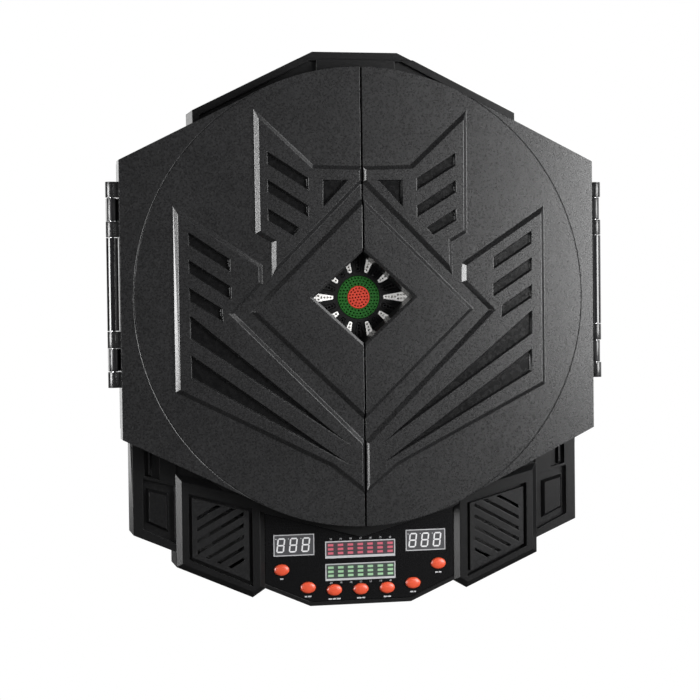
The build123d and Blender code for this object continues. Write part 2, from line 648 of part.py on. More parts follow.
with BuildPart() as board_screws:
    with BuildSketch(front_plane(MAIN_BOARD_H + BOARD_T)):
        with Locations(*both_sides(MAIN_BOARD_HOLES)):
            Circle(SCREW_HEAD_R)
    extrude(amount=SCREW_HEAD_T)
    with BuildSketch(front_plane(MAIN_BOARD_H + BOARD_T)):
        with Locations(*both_sides(MAIN_BOARD_HOLES)):
            Circle(SCREW_R)
    extrude(amount=-BOARD_SCREW_LENGTH)
save(board_screws.part, "board_screws")

with BuildPart() as membrane_tail:
    with BuildSketch(front_plane(CABLE_REAR_H)):
        with Locations((0, TAIL_Z)):
            Rectangle(TAIL_WIDTH, CABLE_T)
    extrude(amount=PLATE_FRONT_H - CABLE_REAR_H)
save(membrane_tail.part, "membrane_tail")

with BuildPart() as display_cable:
    with BuildSketch(front_plane(CABLE_REAR_H)):
        with Locations((0, HARNESS_Z)):
            Rectangle(HARNESS_WIDTH, CABLE_T)
    extrude(amount=BOARD_H - BOARD_T - CABLE_END - CABLE_REAR_H)
save(display_cable.part, "display_cable")

with BuildPart() as console_fascia:
    with BuildSketch(front_plane(CONSOLE_H - FASCIA_SEAT)):
        Polygon(*mirrored(FASCIA_HALF), align=None)
        Polygon(*mirrored(CHIN_HALF), align=None, mode=Mode.SUBTRACT)
        offset(amount=-FASCIA_PLAY, kind=Kind.INTERSECTION, mode=Mode.REPLACE)
        for centre, size in DISPLAYS.values():
            with Locations(centre):
                Rectangle(size[0] + 2 * DISPLAY_GAP, size[1] + 2 * DISPLAY_GAP, mode=Mode.SUBTRACT)
        with Locations(*BUTTON_CENTRES):
            Ellipse(BUTTON_SIZE[0] / 2 + BUTTON_GAP, BUTTON_SIZE[1] / 2 + BUTTON_GAP, mode=Mode.SUBTRACT)
    extrude(amount=FASCIA_SEAT - FASCIA_SINK)
save(console_fascia.part, "console_fascia")

for number, centre in enumerate(BUTTON_CENTRES, start=1):
    with BuildPart() as button:
        # stem over the switch, collar behind the housing and the cap with a domed top
        with BuildSketch(front_plane(STEM_REAR_H)):
            with Locations(centre):
                Circle(STEM_R)
        extrude(amount=COLLAR_FRONT_H - STEM_REAR_H)
        with BuildSketch(front_plane(COLLAR_FRONT_H)):
            with Locations(centre):
                Ellipse(BUTTON_SIZE[0] / 2 + COLLAR[0], BUTTON_SIZE[1] / 2 + COLLAR[0])
        extrude(amount=-COLLAR[1])
        with BuildSketch(front_plane(COLLAR_FRONT_H)):
            with Locations(centre):
                Ellipse(BUTTON_SIZE[0] / 2, BUTTON_SIZE[1] / 2)
        extrude(amount=CONSOLE_H + BUTTON_RISE - COLLAR_FRONT_H)
        fillet(button.faces().sort_by(Axis.Y)[0].edges(), radius=BUTTON_EDGE_R)
    save(button.part, "button_" + str(number))

with BuildPart() as dc_jack:
    with Locations((JACK_X, -JACK_H, CONSOLE_BOTTOM_Z + WALL + JACK_BODY[2] / 2)):
        Box(*JACK_BODY)
    with BuildSketch(Plane.XY.offset(CONSOLE_BOTTOM_Z)):
        with Locations((JACK_X, -JACK_H)):
            Circle(JACK_NOSE_R)
    extrude(amount=WALL)
    with BuildSketch(Plane.XY.offset(CONSOLE_BOTTOM_Z)):
        with Locations((JACK_X, -JACK_H)):
            Circle(JACK_BORE_R)
    extrude(amount=JACK_DEPTH, mode=Mode.SUBTRACT)
save(dc_jack.part, "dc_jack")


# ---------------------------------------------------------------- loudspeakers
def grille(s):
    """Slotted cover of one loudspeaker, open behind, with a flange inside the pod."""
    with BuildPart() as cover:
        with BuildSketch(front_plane(HOLLOW_H)):
            Polygon(*side(SPEAKER_OPENING, s), align=None)
            offset(amount=GRILLE_FLANGE, kind=Kind.INTERSECTION, mode=Mode.REPLACE)
        extrude(amount=-GRILLE_T)
        with BuildSketch(front_plane(HOLLOW_H)):
            Polygon(*side(SPEAKER_OPENING, s), align=None)
            offset(amount=-GRILLE_MARGIN, kind=Kind.INTERSECTION, mode=Mode.REPLACE)
        extrude(amount=GRILLE_FRONT_H - HOLLOW_H)
        with BuildSketch(front_plane(HOLLOW_H - GRILLE_T)):
            Polygon(*side(SPEAKER_OPENING, s), align=None)
            offset(amount=-GRILLE_MARGIN - GRILLE_T, kind=Kind.INTERSECTION, mode=Mode.REPLACE)
        extrude(amount=GRILLE_FRONT_H - HOLLOW_H, mode=Mode.SUBTRACT)
        with BuildSketch(front_plane(HOLLOW_H)):
            for k in range(SLOTS):
                with Locations((s * SPEAKER_CENTRE[0], SLOT_TOP_Z - k * SLOT_PITCH)):
                    Rectangle(SLOT_REACH, SLOT_WIDTH, rotation=-s * SLOT_RISE)
            Polygon(*side(SPEAKER_OPENING, s), align=None, mode=Mode.INTERSECT)
            Polygon(*side(SLOT_FIELD, s), align=None, mode=Mode.INTERSECT)
        extrude(amount=POD_H - HOLLOW_H, mode=Mode.SUBTRACT)
    return cover.part


def speaker(s):
    """Round loudspeaker: frame, cone, basket and magnet, turned about its own axis."""
    with BuildPart() as driver:
        axis_plane = Plane(origin=(s * SPEAKER_CENTRE[0], GRILLE_T - HOLLOW_H, SPEAKER_CENTRE[1]),
                           x_dir=(1, 0, 0), z_dir=(0, 0, 1))
        with BuildSketch(axis_plane):
            Polygon(*SPEAKER_PROFILE, align=None)
        revolve(axis=Axis((s * SPEAKER_CENTRE[0], 0, SPEAKER_CENTRE[1]), (0, 1, 0)))
    return driver.part


# ---------------------------------------------------------------- doors
def door_outline(s):
    """Edge of one door: upright outer edge, sloping edges and the round top and bottom."""
    reach = hypot(DOOR_X, DOOR_CORNER_Z)
    meet = atan2(DOOR_CORNER_Z, DOOR_X) + acos(DISC_R / reach)
    top = (s * SEAM, sqrt(DISC_R ** 2 - SEAM ** 2))
    touch = (s * DISC_R * cos(meet), DISC_R * sin(meet))
    middle_angle = (meet + radians(90)) / 2
    middle = (s * DISC_R * cos(middle_angle), DISC_R * sin(middle_angle))
    corner = (s * DOOR_X, DOOR_CORNER_Z)
    with BuildSketch(Plane.XY, mode=Mode.PRIVATE) as outline:
        with BuildLine():
            ThreePointArc(top, middle, touch)
            Polyline(touch, corner, (corner[0], -corner[1]), (touch[0], -touch[1]))
            ThreePointArc((touch[0], -touch[1]), (middle[0], -middle[1]), (top[0], -top[1]))
            Line((top[0], -top[1]), top)
        make_face()
    return outline.sketch


def door_shell(s):
    """One door moulding: plate with raised panels, rim, window frame and hinge knuckles."""
    outline = door_outline(s)
    half_window = diamond(*WINDOW)
    frame = diamond(WINDOW[0] + WINDOW_FRAME, WINDOW[1] + WINDOW_FRAME)
    bevel = diamond(WINDOW[0] + WINDOW_BEVEL, WINDOW[1] + WINDOW_BEVEL * WINDOW[1] / WINDOW[0])
    panels = [draft_block(side(points, s), PLATE_H, RELIEF_H - PLATE_H, RELIEF_DRAFT)
              for points in (UPPER_WING, OUTER_WING, DIAMOND)]
    recesses = [draft_block(side(points, s), RELIEF_H, PLATE_H - RELIEF_H, LOUVRE_DRAFT)
                for points in LOUVRES]
    with BuildPart() as shell:
        with BuildSketch(front_plane(DOOR_REAR_H)):
            add(outline)
        extrude(amount=PLATE_H - DOOR_REAR_H)
        with BuildSketch(front_plane(DOOR_REAR_H)):
            add(outline)
            offset(amount=-WALL, kind=Kind.INTERSECTION, mode=Mode.REPLACE)
            Polygon(*frame, align=None, mode=Mode.SUBTRACT)
            with Locations((s * MAGNET[0], MAGNET[1]), (s * MAGNET[0], -MAGNET[1])):
                Circle(MAGNET_R + MAGNET_WALL, mode=Mode.SUBTRACT)
        extrude(amount=PLATE_H - WALL - DOOR_REAR_H, mode=Mode.SUBTRACT)
        for panel in panels:
            add(panel)
        with BuildSketch(front_plane(PLATE_H)):
            with Locations((s * (SEAM - SEAM_TRIM / 2), 0)):
                Rectangle(SEAM_TRIM, 2 * DISC_R)
        extrude(amount=RELIEF_H - PLATE_H, mode=Mode.SUBTRACT)
        bevel_h = RELIEF_H - SEAM_BEVEL[1]
        bevel_x = s * (SEAM + SEAM_BEVEL[0])
        for low, high in SEAM_BEVEL_Z:
            with BuildSketch(Plane.XY.offset(low)):
                Polygon((0, -bevel_h), (s * SEAM, -bevel_h), (bevel_x, -RELIEF_H), (0, -RELIEF_H), align=None)
            extrude(amount=high - low, mode=Mode.SUBTRACT)
        for recess in recesses:
            add(recess, mode=Mode.SUBTRACT)
        # window with its bevelled edge
        with BuildSketch(front_plane(DOOR_REAR_H)):
            Polygon(*half_window, align=None)
        extrude(amount=RELIEF_H - DOOR_REAR_H, mode=Mode.SUBTRACT)
        with BuildSketch(front_plane(RELIEF_H - WINDOW_BEVEL_DEPTH)):
            Polygon(*half_window, align=None)
        with BuildSketch(front_plane(RELIEF_H)):
            Polygon(*bevel, align=None)
        loft(mode=Mode.SUBTRACT)
        # round groove that carries the disc's edge across the plate
        with BuildSketch(front_plane(PLATE_H)):
            Circle(DISC_R)
            Circle(DISC_R - GROOVE[0], mode=Mode.SUBTRACT)
            Polygon(*side(GROOVE_ZONE, s), align=None, mode=Mode.INTERSECT)
        extrude(amount=-GROOVE[1], mode=Mode.SUBTRACT)
        # pockets for the magnets
        with BuildSketch(front_plane(DOOR_REAR_H)):
            with Locations((s * MAGNET[0], MAGNET[1]), (s * MAGNET[0], -MAGNET[1])):
                Circle(MAGNET_R)
        extrude(amount=MAGNET_T + MAGNET_SINK, mode=Mode.SUBTRACT)
        # pilot holes for the liner screws
        with BuildSketch(front_plane(PLATE_H - WALL)):
            with Locations(*side(LINER_SCREWS, s)):
                Circle(LINER_SCREW_R + SCREW_PLAY)
        extrude(amount=LINER_HOLE_DEPTH, mode=Mode.SUBTRACT)
        # hinge knuckles
        for low, high in KNUCKLES:
            with BuildSketch(Plane.XY.offset(low + HINGE_GAP)):
                with Locations((s * HINGE_X, -HINGE_H)):
                    Circle(KNUCKLE_R)
                with Locations((s * (DOOR_X + HINGE_X - KNUCKLE_LAP) / 2, -HINGE_H)):
                    Rectangle(HINGE_X - DOOR_X + KNUCKLE_LAP, KNUCKLE_WEB)
                with Locations((s * HINGE_X, -HINGE_H)):
                    Circle(HINGE_PIN_R + PIN_PLAY, mode=Mode.SUBTRACT)
            extrude(amount=high - low - 2 * HINGE_GAP)
    return shell.part


def door_liner(s):
    """Flat sheet screwed behind the door plate, cut out round the window and the magnets."""
    with BuildPart() as liner:
        with BuildSketch(front_plane(LINER_H)):
            add(door_outline(s))
            offset(amount=-WALL - LINER_PLAY, kind=Kind.INTERSECTION, mode=Mode.REPLACE)
            margin = WINDOW_FRAME + 1.5 * LINER_PLAY
            cutout = diamond(WINDOW[0] + margin, WINDOW[1] + margin)
            Polygon(*cutout, align=None, mode=Mode.SUBTRACT)
            with Locations((s * MAGNET[0], MAGNET[1]), (s * MAGNET[0], -MAGNET[1])):
                Circle(MAGNET_R + MAGNET_WALL + LINER_PLAY, mode=Mode.SUBTRACT)
            with Locations(*side(LINER_SCREWS, s)):
                Circle(LINER_SCREW_R + SCREW_PLAY, mode=Mode.SUBTRACT)
        extrude(amount=PLATE_H - WALL - LINER_H)
    return liner.part


def liner_screws(s):
    """Small screws that hold one liner."""
    with BuildPart() as screws:
        with BuildSketch(front_plane(LINER_H)):
            with Locations(*side(LINER_SCREWS, s)):
                Circle(LINER_SCREW_R)
        extrude(amount=LINER_SCREW_LENGTH)
        with BuildSketch(front_plane(LINER_H)):
            with Locations(*side(LINER_SCREWS, s)):
                Circle(LINER_SCREW_HEAD[0])
        extrude(amount=-LINER_SCREW_HEAD[1])
    return screws.part


def dart_rack(s):
    """Strip on the liner with an upper and a lower comb that three darts snap into."""
    middle = (RACK_DARTS[0] + RACK_DARTS[-1]) / 2
    width = RACK_DARTS[-1] - RACK_DARTS[0] + 20
    with BuildPart() as rack:
        with BuildSketch(front_plane(LINER_H)):
            with Locations((s * middle, (RACK_TOP_Z + RACK_BOTTOM_Z) / 2)):
                Rectangle(width, RACK_TOP_Z - RACK_BOTTOM_Z)
        extrude(amount=-RACK_STRIP_T)
        with BuildSketch(front_plane(LINER_H - RACK_STRIP_T)):
            for z in (RACK_TOP_Z - RACK_BAR / 2, RACK_BOTTOM_Z + RACK_BAR / 2):
                with Locations((s * middle, z)):
                    Rectangle(width, RACK_BAR)
            for x in RACK_DARTS:
                with Locations((s * x, (RACK_TOP_Z + RACK_BOTTOM_Z) / 2)):
                    Rectangle(RACK_NOTCH, RACK_TOP_Z - RACK_BOTTOM_Z, mode=Mode.SUBTRACT)
        extrude(amount=-RACK_DEPTH)
    return rack.part


def door_magnets(s):
    """The two round magnets in the door's free edge."""
    with BuildPart() as magnets:
        with BuildSketch(front_plane(DOOR_REAR_H + MAGNET_SINK - 0.1)):
            with Locations((s * MAGNET[0], MAGNET[1]), (s * MAGNET[0], -MAGNET[1])):
                Circle(MAGNET_R - SCREW_PLAY)
        extrude(amount=MAGNET_T)
    return magnets.part


# ---------------------------------------------------------------- hinges
def hinge_brackets(s):
    """Two brackets on the housing's side wall, each with a barrel round the hinge pin."""
    arm = [(HOUSING_X, BRACKET_REAR_H), (HOUSING_X + BRACKET_T, BRACKET_REAR_H),
           (HOUSING_X + BRACKET_T, BRACKET_REAR_H + 10), (HINGE_X + LUG_R, RIM_H - 1),
           (HINGE_X + LUG_R, HINGE_H), (HINGE_X - LUG_R, HINGE_H), (HINGE_X - LUG_R, RIM_H + 1.5),
           (HINGE_X - LUG_R - 1.5, RIM_H), (HOUSING_X, RIM_H)]
    with BuildPart() as brackets:
        for low, high in LUGS:
            with BuildSketch(Plane.XY.offset(low + HINGE_GAP)):
                Polygon(*[(s * x, -h) for x, h in arm], align=None)
                with Locations((s * HINGE_X, -HINGE_H)):
                    Circle(LUG_R)
                    Circle(HINGE_PIN_R + PIN_FIT, mode=Mode.SUBTRACT)
            extrude(amount=high - low - 2 * HINGE_GAP)
        for z in LUG_CENTRES:
            for dz in (-HINGE_SCREW_DZ, HINGE_SCREW_DZ):
                with BuildSketch(Plane.YZ.offset(s * HOUSING_X)):
                    with Locations((-HINGE_SCREW_H, z + dz)):
                        Circle(HINGE_SCREW_R + SCREW_PLAY)
                extrude(amount=s * BRACKET_T, mode=Mode.SUBTRACT)
    return brackets.part


def hinge_screws(s):
    """Screws that hold the two brackets of one hinge."""
    with BuildPart() as screws:
        for z in LUG_CENTRES:
            for dz in (-HINGE_SCREW_DZ, HINGE_SCREW_DZ):
                with BuildSketch(Plane.YZ.offset(s * (HOUSING_X + BRACKET_T))):
                    with Locations((-HINGE_SCREW_H, z + dz)):
                        Circle(HINGE_SCREW_HEAD[0])
                extrude(amount=s * HINGE_SCREW_HEAD[1])
                with BuildSketch(Plane.YZ.offset(s * (HOUSING_X + BRACKET_T))):
                    with Locations((-HINGE_SCREW_H, z + dz)):
                        Circle(HINGE_SCREW_R)
                extrude(amount=-s * HINGE_SCREW_LENGTH)
    return screws.part


def hinge_tube(s):
    """Long tube on the pin between the upper and the lower hinge; it turns with the door."""
    with BuildPart() as tube:
        with BuildSketch(Plane.XY.offset(KNUCKLES[2][1] + HINGE_GAP)):
            with Locations((s * HINGE_X, -HINGE_H)):
                Circle(KNUCKLE_R)
                Circle(HINGE_PIN_R + PIN_PLAY, mode=Mode.SUBTRACT)
        extrude(amount=KNUCKLES[1][0] - KNUCKLES[2][1] - 2 * HINGE_GAP)
    return tube.part


def hinge_pin(s):
    """Steel pin through all the knuckles of one door."""
    with BuildPart() as pin:
        with BuildSketch(Plane.XY.offset(KNUCKLES[3][0] + 2 * HINGE_GAP)):
            with Locations((s * HINGE_X, -HINGE_H)):
                Circle(HINGE_PIN_R)
        extrude(amount=KNUCKLES[0][1] - KNUCKLES[3][0] - 4 * HINGE_GAP)
    return pin.part


paired = [(grille, "speaker_grille"), (speaker, "speaker"), (door_shell, "door"),
          (door_liner, "door_liner"), (liner_screws, "liner_screws"), (dart_rack, "dart_rack"),
          (door_magnets, "door_magnets"), (hinge_brackets, "hinge_brackets"),
          (hinge_screws, "hinge_screws"), (hinge_tube, "hinge_tube"), (hinge_pin, "hinge_pin")]
for make, name in paired:
    save(make(-1), name + "_left")
    save(make(1), name + "_right")
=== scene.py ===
"""Looks of the electronic dartboard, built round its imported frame.

Lengths in the tables below are in millimetres.  x is the width and z is up, and a
height h is a distance in front of the wall, so it lies at y = -h.
"""
import cmath
import math

import bmesh
import bpy
from mathutils import Matrix, Vector
from mathutils.geometry import delaunay_2d_cdt


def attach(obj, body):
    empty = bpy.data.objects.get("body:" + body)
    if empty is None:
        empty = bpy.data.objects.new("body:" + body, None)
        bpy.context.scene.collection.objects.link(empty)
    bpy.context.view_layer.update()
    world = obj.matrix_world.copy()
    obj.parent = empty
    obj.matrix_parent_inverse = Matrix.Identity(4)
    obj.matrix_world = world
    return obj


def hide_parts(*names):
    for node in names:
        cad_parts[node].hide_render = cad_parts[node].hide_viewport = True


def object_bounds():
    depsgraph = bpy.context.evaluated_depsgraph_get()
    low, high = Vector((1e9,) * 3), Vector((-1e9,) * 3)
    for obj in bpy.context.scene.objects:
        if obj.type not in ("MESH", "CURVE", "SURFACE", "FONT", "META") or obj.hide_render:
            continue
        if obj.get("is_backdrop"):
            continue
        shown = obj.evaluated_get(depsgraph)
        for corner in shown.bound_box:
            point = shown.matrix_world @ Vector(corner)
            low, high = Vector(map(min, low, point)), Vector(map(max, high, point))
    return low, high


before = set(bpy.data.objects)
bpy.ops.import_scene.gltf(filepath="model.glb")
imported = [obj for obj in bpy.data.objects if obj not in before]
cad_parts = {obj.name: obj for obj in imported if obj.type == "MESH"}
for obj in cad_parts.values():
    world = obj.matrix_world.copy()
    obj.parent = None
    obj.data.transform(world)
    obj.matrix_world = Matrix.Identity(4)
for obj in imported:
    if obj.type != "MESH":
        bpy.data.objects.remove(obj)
CAD_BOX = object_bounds()
MM = 0.001

# ---------------------------------------------------------------- sizes shared with the frame
SECTORS = 20
SECTOR = math.radians(360 / SECTORS)
WEB = 3.6
GAP = 0.35
INNER_SINGLE = (24.0, 105.5)
TRIPLE = (108.5, 118.5)
OUTER_SINGLE = (121.5, 183.0)
DOUBLE = (186.0, 196.0)
NUMBER_R = 203.5
NUMBER_FLOOR_H = 43.8
SEGMENT_FRONT_H = 44.2
SEGMENT_REAR_H = 34.6
BULL_FRONT_H = 44.8
BULL_REAR_H = 36.0
OUTER_BULL_R = 20.3
INNER_BULL_R = 10.8
FASCIA_H = 39.8
DISPLAY_H = 39.3
DISPLAYS = {
    "score_display_left": ((-64.7, -235.0), (39.4, 20.4)),
    "score_display_right": ((64.7, -235.0), (39.4, 20.4)),
    "cricket_display_red": ((0.0, -241.1), (68.8, 16.3)),
    "cricket_display_green": ((0.0, -262.6), (68.8, 16.2)),
}
BUTTON_HALF = (7.4, 5.4)
BUTTONS = [(-77.0, -258.2), (-51.6, -276.1), (-26.0, -279.5), (0.0, -279.6),
           (26.0, -279.5), (51.6, -276.1), (77.0, -258.2)]
COVER_POSTS = [(35, 224.5), (149, 166), (217.5, 118), (210, -136), (95, -262)]
MAIN_BOARD_HOLES = [(66, -172), (66, -240)]
LINER_SCREWS = [(210, 108), (210, -108), (118, 160), (118, -160), (70, 4), (215, 0)]
TARGET_SCREW_R = 203.0
FRAME_EAR_R = 215.2
LUG_CENTRES = [83.4, -55.1]
SPEAKER_CENTRE = (135.0, -225.0)
SPEAKER_H = 34.5
SIDES = ((-1, "left"), (1, "right"))


# ---------------------------------------------------------------- materials
def new_material(name, colour, roughness, metallic=0.0):
    made = bpy.data.materials.new(name)
    made.use_nodes = True
    shader = made.node_tree.nodes["Principled BSDF"]
    shader.inputs["Base Color"].default_value = (*colour, 1)
    shader.inputs["Roughness"].default_value = roughness
    shader.inputs["Metallic"].default_value = metallic
    return made, made.node_tree, shader


def add_noise(tree, where, scale, detail=2.0, rough=0.5):
    noise = tree.nodes.new("ShaderNodeTexNoise")
    noise.inputs["Scale"].default_value = scale
    noise.inputs["Detail"].default_value = detail
    noise.inputs["Roughness"].default_value = rough
    tree.links.new(where, noise.inputs["Vector"])
    return noise.outputs["Fac"]


def add_range(tree, value, low, high, start=0.3, end=0.7):
    ranged = tree.nodes.new("ShaderNodeMapRange")
    ranged.inputs["From Min"].default_value = start
    ranged.inputs["From Max"].default_value = end
    ranged.inputs["To Min"].default_value = low
    ranged.inputs["To Max"].default_value = high
    tree.links.new(value, ranged.inputs["Value"])
    return ranged.outputs["Result"]


def add_mix(tree, factor, first, second):
    mix = tree.nodes.new("ShaderNodeMix")
    mix.data_type = "RGBA"
    tree.links.new(factor, mix.inputs["Factor"])
    for value, socket in ((first, mix.inputs[6]), (second, mix.inputs[7])):
        if isinstance(value, tuple):
            socket.default_value = (*value, 1)
        else:
            tree.links.new(value, socket)
    return mix.outputs[2]


def textured(name, colour, roughness, metallic=0.0):
    """New material with its node tree, its shader and the object's own coordinates."""
    made, tree, shader = new_material(name, colour, roughness, metallic)
    return made, tree, shader, tree.nodes.new("ShaderNodeTexCoord").outputs["Object"]


def dress(tree, shader, tone, gloss, relief, strength, distance):
    """Joins tone, gloss and relief to the shader; distance is the depth of the relief in metres."""
    bump = tree.nodes.new("ShaderNodeBump")
    bump.inputs["Strength"].default_value = strength
    bump.inputs["Distance"].default_value = distance
    tree.links.new(relief, bump.inputs["Height"])
    tree.links.new(tone, shader.inputs["Base Color"])
    tree.links.new(gloss, shader.inputs["Roughness"])
    tree.links.new(bump.outputs["Normal"], shader.inputs["Normal"])


def tinted(colour, factor):
    return tuple(min(1.0, c * factor) for c in colour)


def moulded(name, colour, roughness, grain=900.0, strength=0.35, depth=0.0002, mottle=0.12,
            spread=0.06, metallic=0.0, specular=0.5):
    """Moulded or coated surface: soft patches of tone, a fine grain in the gloss and in the relief."""
    made, tree, shader, where = textured(name, colour, roughness, metallic)
    patches = add_range(tree, add_noise(tree, where, scale=22.0, detail=4.0), 0, 1)
    speckle = add_noise(tree, where, scale=grain, rough=0.6)
    tone = add_mix(tree, patches, tinted(colour, 1 - mottle), tinted(colour, 1 + mottle))
    specks = add_range(tree, speckle, 0, 1, start=0.35, end=0.65)
    tone = add_mix(tree, specks, tone, tinted(colour, 1 + 1.6 * mottle))
    gloss = add_range(tree, speckle, roughness - spread, roughness + spread)
    shader.inputs["Specular IOR Level"].default_value = specular
    dress(tree, shader, tone, gloss, speckle, strength, depth)
    return made


def sparked(name, colour, roughness, specular=0.5):
    """Black moulding with a fine spark-eroded grain over soft patches of tone."""
    made, tree, shader, where = textured(name, colour, roughness)
    grain = add_noise(tree, where, scale=700.0, detail=3.0, rough=0.75)
    patches = add_range(tree, add_noise(tree, where, scale=26.0, detail=5.0, rough=0.65), 0, 1)
    hollows = add_mix(tree, patches, tinted(colour, 0.7), colour)
    crests = add_mix(tree, patches, tinted(colour, 1.75), tinted(colour, 2.4))
    tone = add_mix(tree, add_range(tree, grain, 0, 1, start=0.4, end=0.72), hollows, crests)
    gloss = add_range(tree, grain, roughness - 0.05, roughness + 0.06)
    shader.inputs["Specular IOR Level"].default_value = specular
    dress(tree, shader, tone, gloss, grain, strength=0.26, distance=0.00025)
    return made


def segment_plastic(name, colour, roughness, **details):
    """Moulding of the scoring segments, finer and flatter than the cabinet's."""
    return moulded(name, colour, roughness, grain=700.0, strength=0.12, **details)


def smoked(name, colour):
    """Smoked window of a display."""
    return moulded(name, colour, 0.3, grain=1500.0, strength=0.06)


def hardboard(name):
    """Pressed fibre board: long and short fibres in two browns."""
    made, tree, shader, where = textured(name, (0.28, 0.17, 0.09), 0.75)
    fibres = add_noise(tree, where, scale=260.0, detail=8.0, rough=0.75)
    tone = add_mix(tree, add_range(tree, fibres, 0, 1), (0.2, 0.115, 0.06), (0.36, 0.23, 0.13))
    gloss = add_range(tree, fibres, 0.62, 0.85)
    dress(tree, shader, tone, gloss, fibres, strength=0.4, distance=0.0003)
    return made


def circuit_board(name):
    """Green solder mask with copper tracks showing faintly through it."""
    made, tree, shader, where = textured(name, (0.02, 0.16, 0.06), 0.35)
    tracks = tree.nodes.new("ShaderNodeTexBrick")
    tracks.inputs["Scale"].default_value = 90.0
    tracks.inputs["Mortar Size"].default_value = 0.045
    tracks.inputs["Color1"].default_value = (0.015, 0.13, 0.05, 1)
    tracks.inputs["Color2"].default_value = (0.02, 0.17, 0.065, 1)
    tracks.inputs["Mortar"].default_value = (0.06, 0.3, 0.11, 1)
    tree.links.new(where, tracks.inputs["Vector"])
    gloss = add_range(tree, add_noise(tree, where, scale=400.0), 0.28, 0.42)
    dress(tree, shader, tracks.outputs["Color"], gloss, tracks.outputs["Fac"], strength=0.3, distance=0.0001)
    return made


def printed_film(name):
    """Clear film with printed carbon tracks."""
    film, carbon = (0.6, 0.6, 0.55), (0.1, 0.1, 0.1)
    made, tree, shader, where = textured(name, film, 0.3)
    bands = tree.nodes.new("ShaderNodeTexWave")
    bands.inputs["Scale"].default_value = 120.0
    bands.inputs["Distortion"].default_value = 0.4
    tree.links.new(where, bands.inputs["Vector"])
    tone = add_mix(tree, add_range(tree, bands.outputs["Fac"], 0, 1, start=0.62, end=0.7), film, carbon)
    fine = add_noise(tree, where, scale=300.0)
    dress(tree, shader, tone, add_range(tree, fine, 0.22, 0.4), fine, strength=0.15, distance=0.0001)
    return made


def brushed(name, colour, roughness):
    """Steel or nickel with fine drawn lines."""
    made, tree, shader, where = textured(name, colour, roughness, metallic=1.0)
    stretch = tree.nodes.new("ShaderNodeMapping")
    stretch.inputs["Scale"].default_value = (1.0, 1.0, 0.06)
    tree.links.new(where, stretch.inputs["Vector"])
    lines = add_noise(tree, stretch.outputs["Vector"], scale=2400.0, detail=3.0)
    tone = add_mix(tree, add_range(tree, lines, 0, 1), tinted(colour, 0.8), tinted(colour, 1.15))
    gloss = add_range(tree, lines, roughness - 0.08, roughness + 0.1)
    dress(tree, shader, tone, gloss, lines, strength=0.2, distance=0.00005)
    return made


def glowing(name, colour, light):
    """Lit mark behind a smoked display."""
    made = moulded(name, colour, 0.35, grain=1200.0, strength=0.1, depth=0.00005, mottle=0.05)
    shader = made.node_tree.nodes["Principled BSDF"]
    shader.inputs["Emission Color"].default_value = (*colour, 1)
    shader.inputs["Emission Strength"].default_value = light
    return made


# the keys are the frame's own slots
FINISHES = {
    "housing_plastic": sparked("housing_black", (0.0046, 0.0046, 0.0048), 0.34, 0.22),
    "door_plastic": sparked("door_black", (0.0102, 0.0102, 0.0106), 0.28),
    "liner_plastic": moulded("liner_black", (0.018, 0.018, 0.019), 0.4, grain=500.0, strength=0.2),
    "grille_plastic": sparked("grille_black", (0.0085, 0.0085, 0.0088), 0.36, 0.22),
    "fascia_plastic": moulded("fascia_black", (0.003, 0.003, 0.0033), 0.25, grain=1500.0,
                              strength=0.08, specular=0.2),
    "spider_plastic": moulded("spider_black", (0.003, 0.003, 0.0032), 0.35, grain=800.0,
                              strength=0.15, specular=0.2),
    "segment_black": segment_plastic("segment_black", (0.004, 0.004, 0.0042), 0.32, specular=0.3),
    "segment_white": segment_plastic("segment_white", (0.9, 0.89, 0.87), 0.42, mottle=0.04),
    "segment_red": segment_plastic("segment_red", (0.38, 0.036, 0.02), 0.4, mottle=0.08,
                                   specular=0.15),
    "segment_green": segment_plastic("segment_green", (0.009, 0.068, 0.009), 0.4, mottle=0.08,
                                     specular=0.12),
    "button_orange": moulded("button_orange", (0.57, 0.068, 0.027), 0.34, strength=0.1,
                             mottle=0.06),
    "score_display": smoked("display_grey", (0.046, 0.046, 0.049)),
    "cricket_display_red": smoked("display_smoke_red", (0.042, 0.033, 0.038)),
    "cricket_display_green": smoked("display_smoke_green", (0.034, 0.042, 0.039)),
    "circuit_board": circuit_board("solder_mask"),
    "switch_plastic": moulded("switch_black", (0.02, 0.02, 0.02), 0.45),
    "membrane_film": printed_film("printed_film"),
    "pad_rubber": moulded("pad_rubber", (0.03, 0.03, 0.03), 0.8, grain=600.0, strength=0.4, mottle=0.2),
    "hardboard": hardboard("hardboard"),
    "speaker_metal": moulded("speaker_lacquer", (0.03, 0.03, 0.032), 0.35, grain=800.0, strength=0.15),
    "hinge_black": moulded("hinge_satin", (0.016, 0.016, 0.017), 0.32, strength=0.15),
    "hinge_gloss": moulded("hinge_gloss", (0.012, 0.012, 0.013), 0.12, strength=0.05, spread=0.04),
    "pin_steel": brushed("pin_steel", (0.55, 0.55, 0.56), 0.28),
    "screw_steel": brushed("screw_steel", (0.42, 0.42, 0.43), 0.32),
    "magnet_nickel": brushed("magnet_nickel", (0.7, 0.69, 0.66), 0.2),
    "strike_steel": brushed("strike_steel", (0.5, 0.5, 0.5), 0.35),
    "jack_plastic": moulded("jack_black", (0.015, 0.015, 0.015), 0.4),
}
PRINT_WHITE = moulded("print_white", (0.38, 0.38, 0.39), 0.5, grain=1200.0, strength=0.1, mottle=0.05)
DIGIT_WHITE = glowing("digit_white", (0.55, 0.55, 0.56), 0.1)
BAR_RED = glowing("bar_red", (0.4, 0.085, 0.115), 0.1)
BAR_GREEN = glowing("bar_green", (0.24, 0.4, 0.24), 0.1)
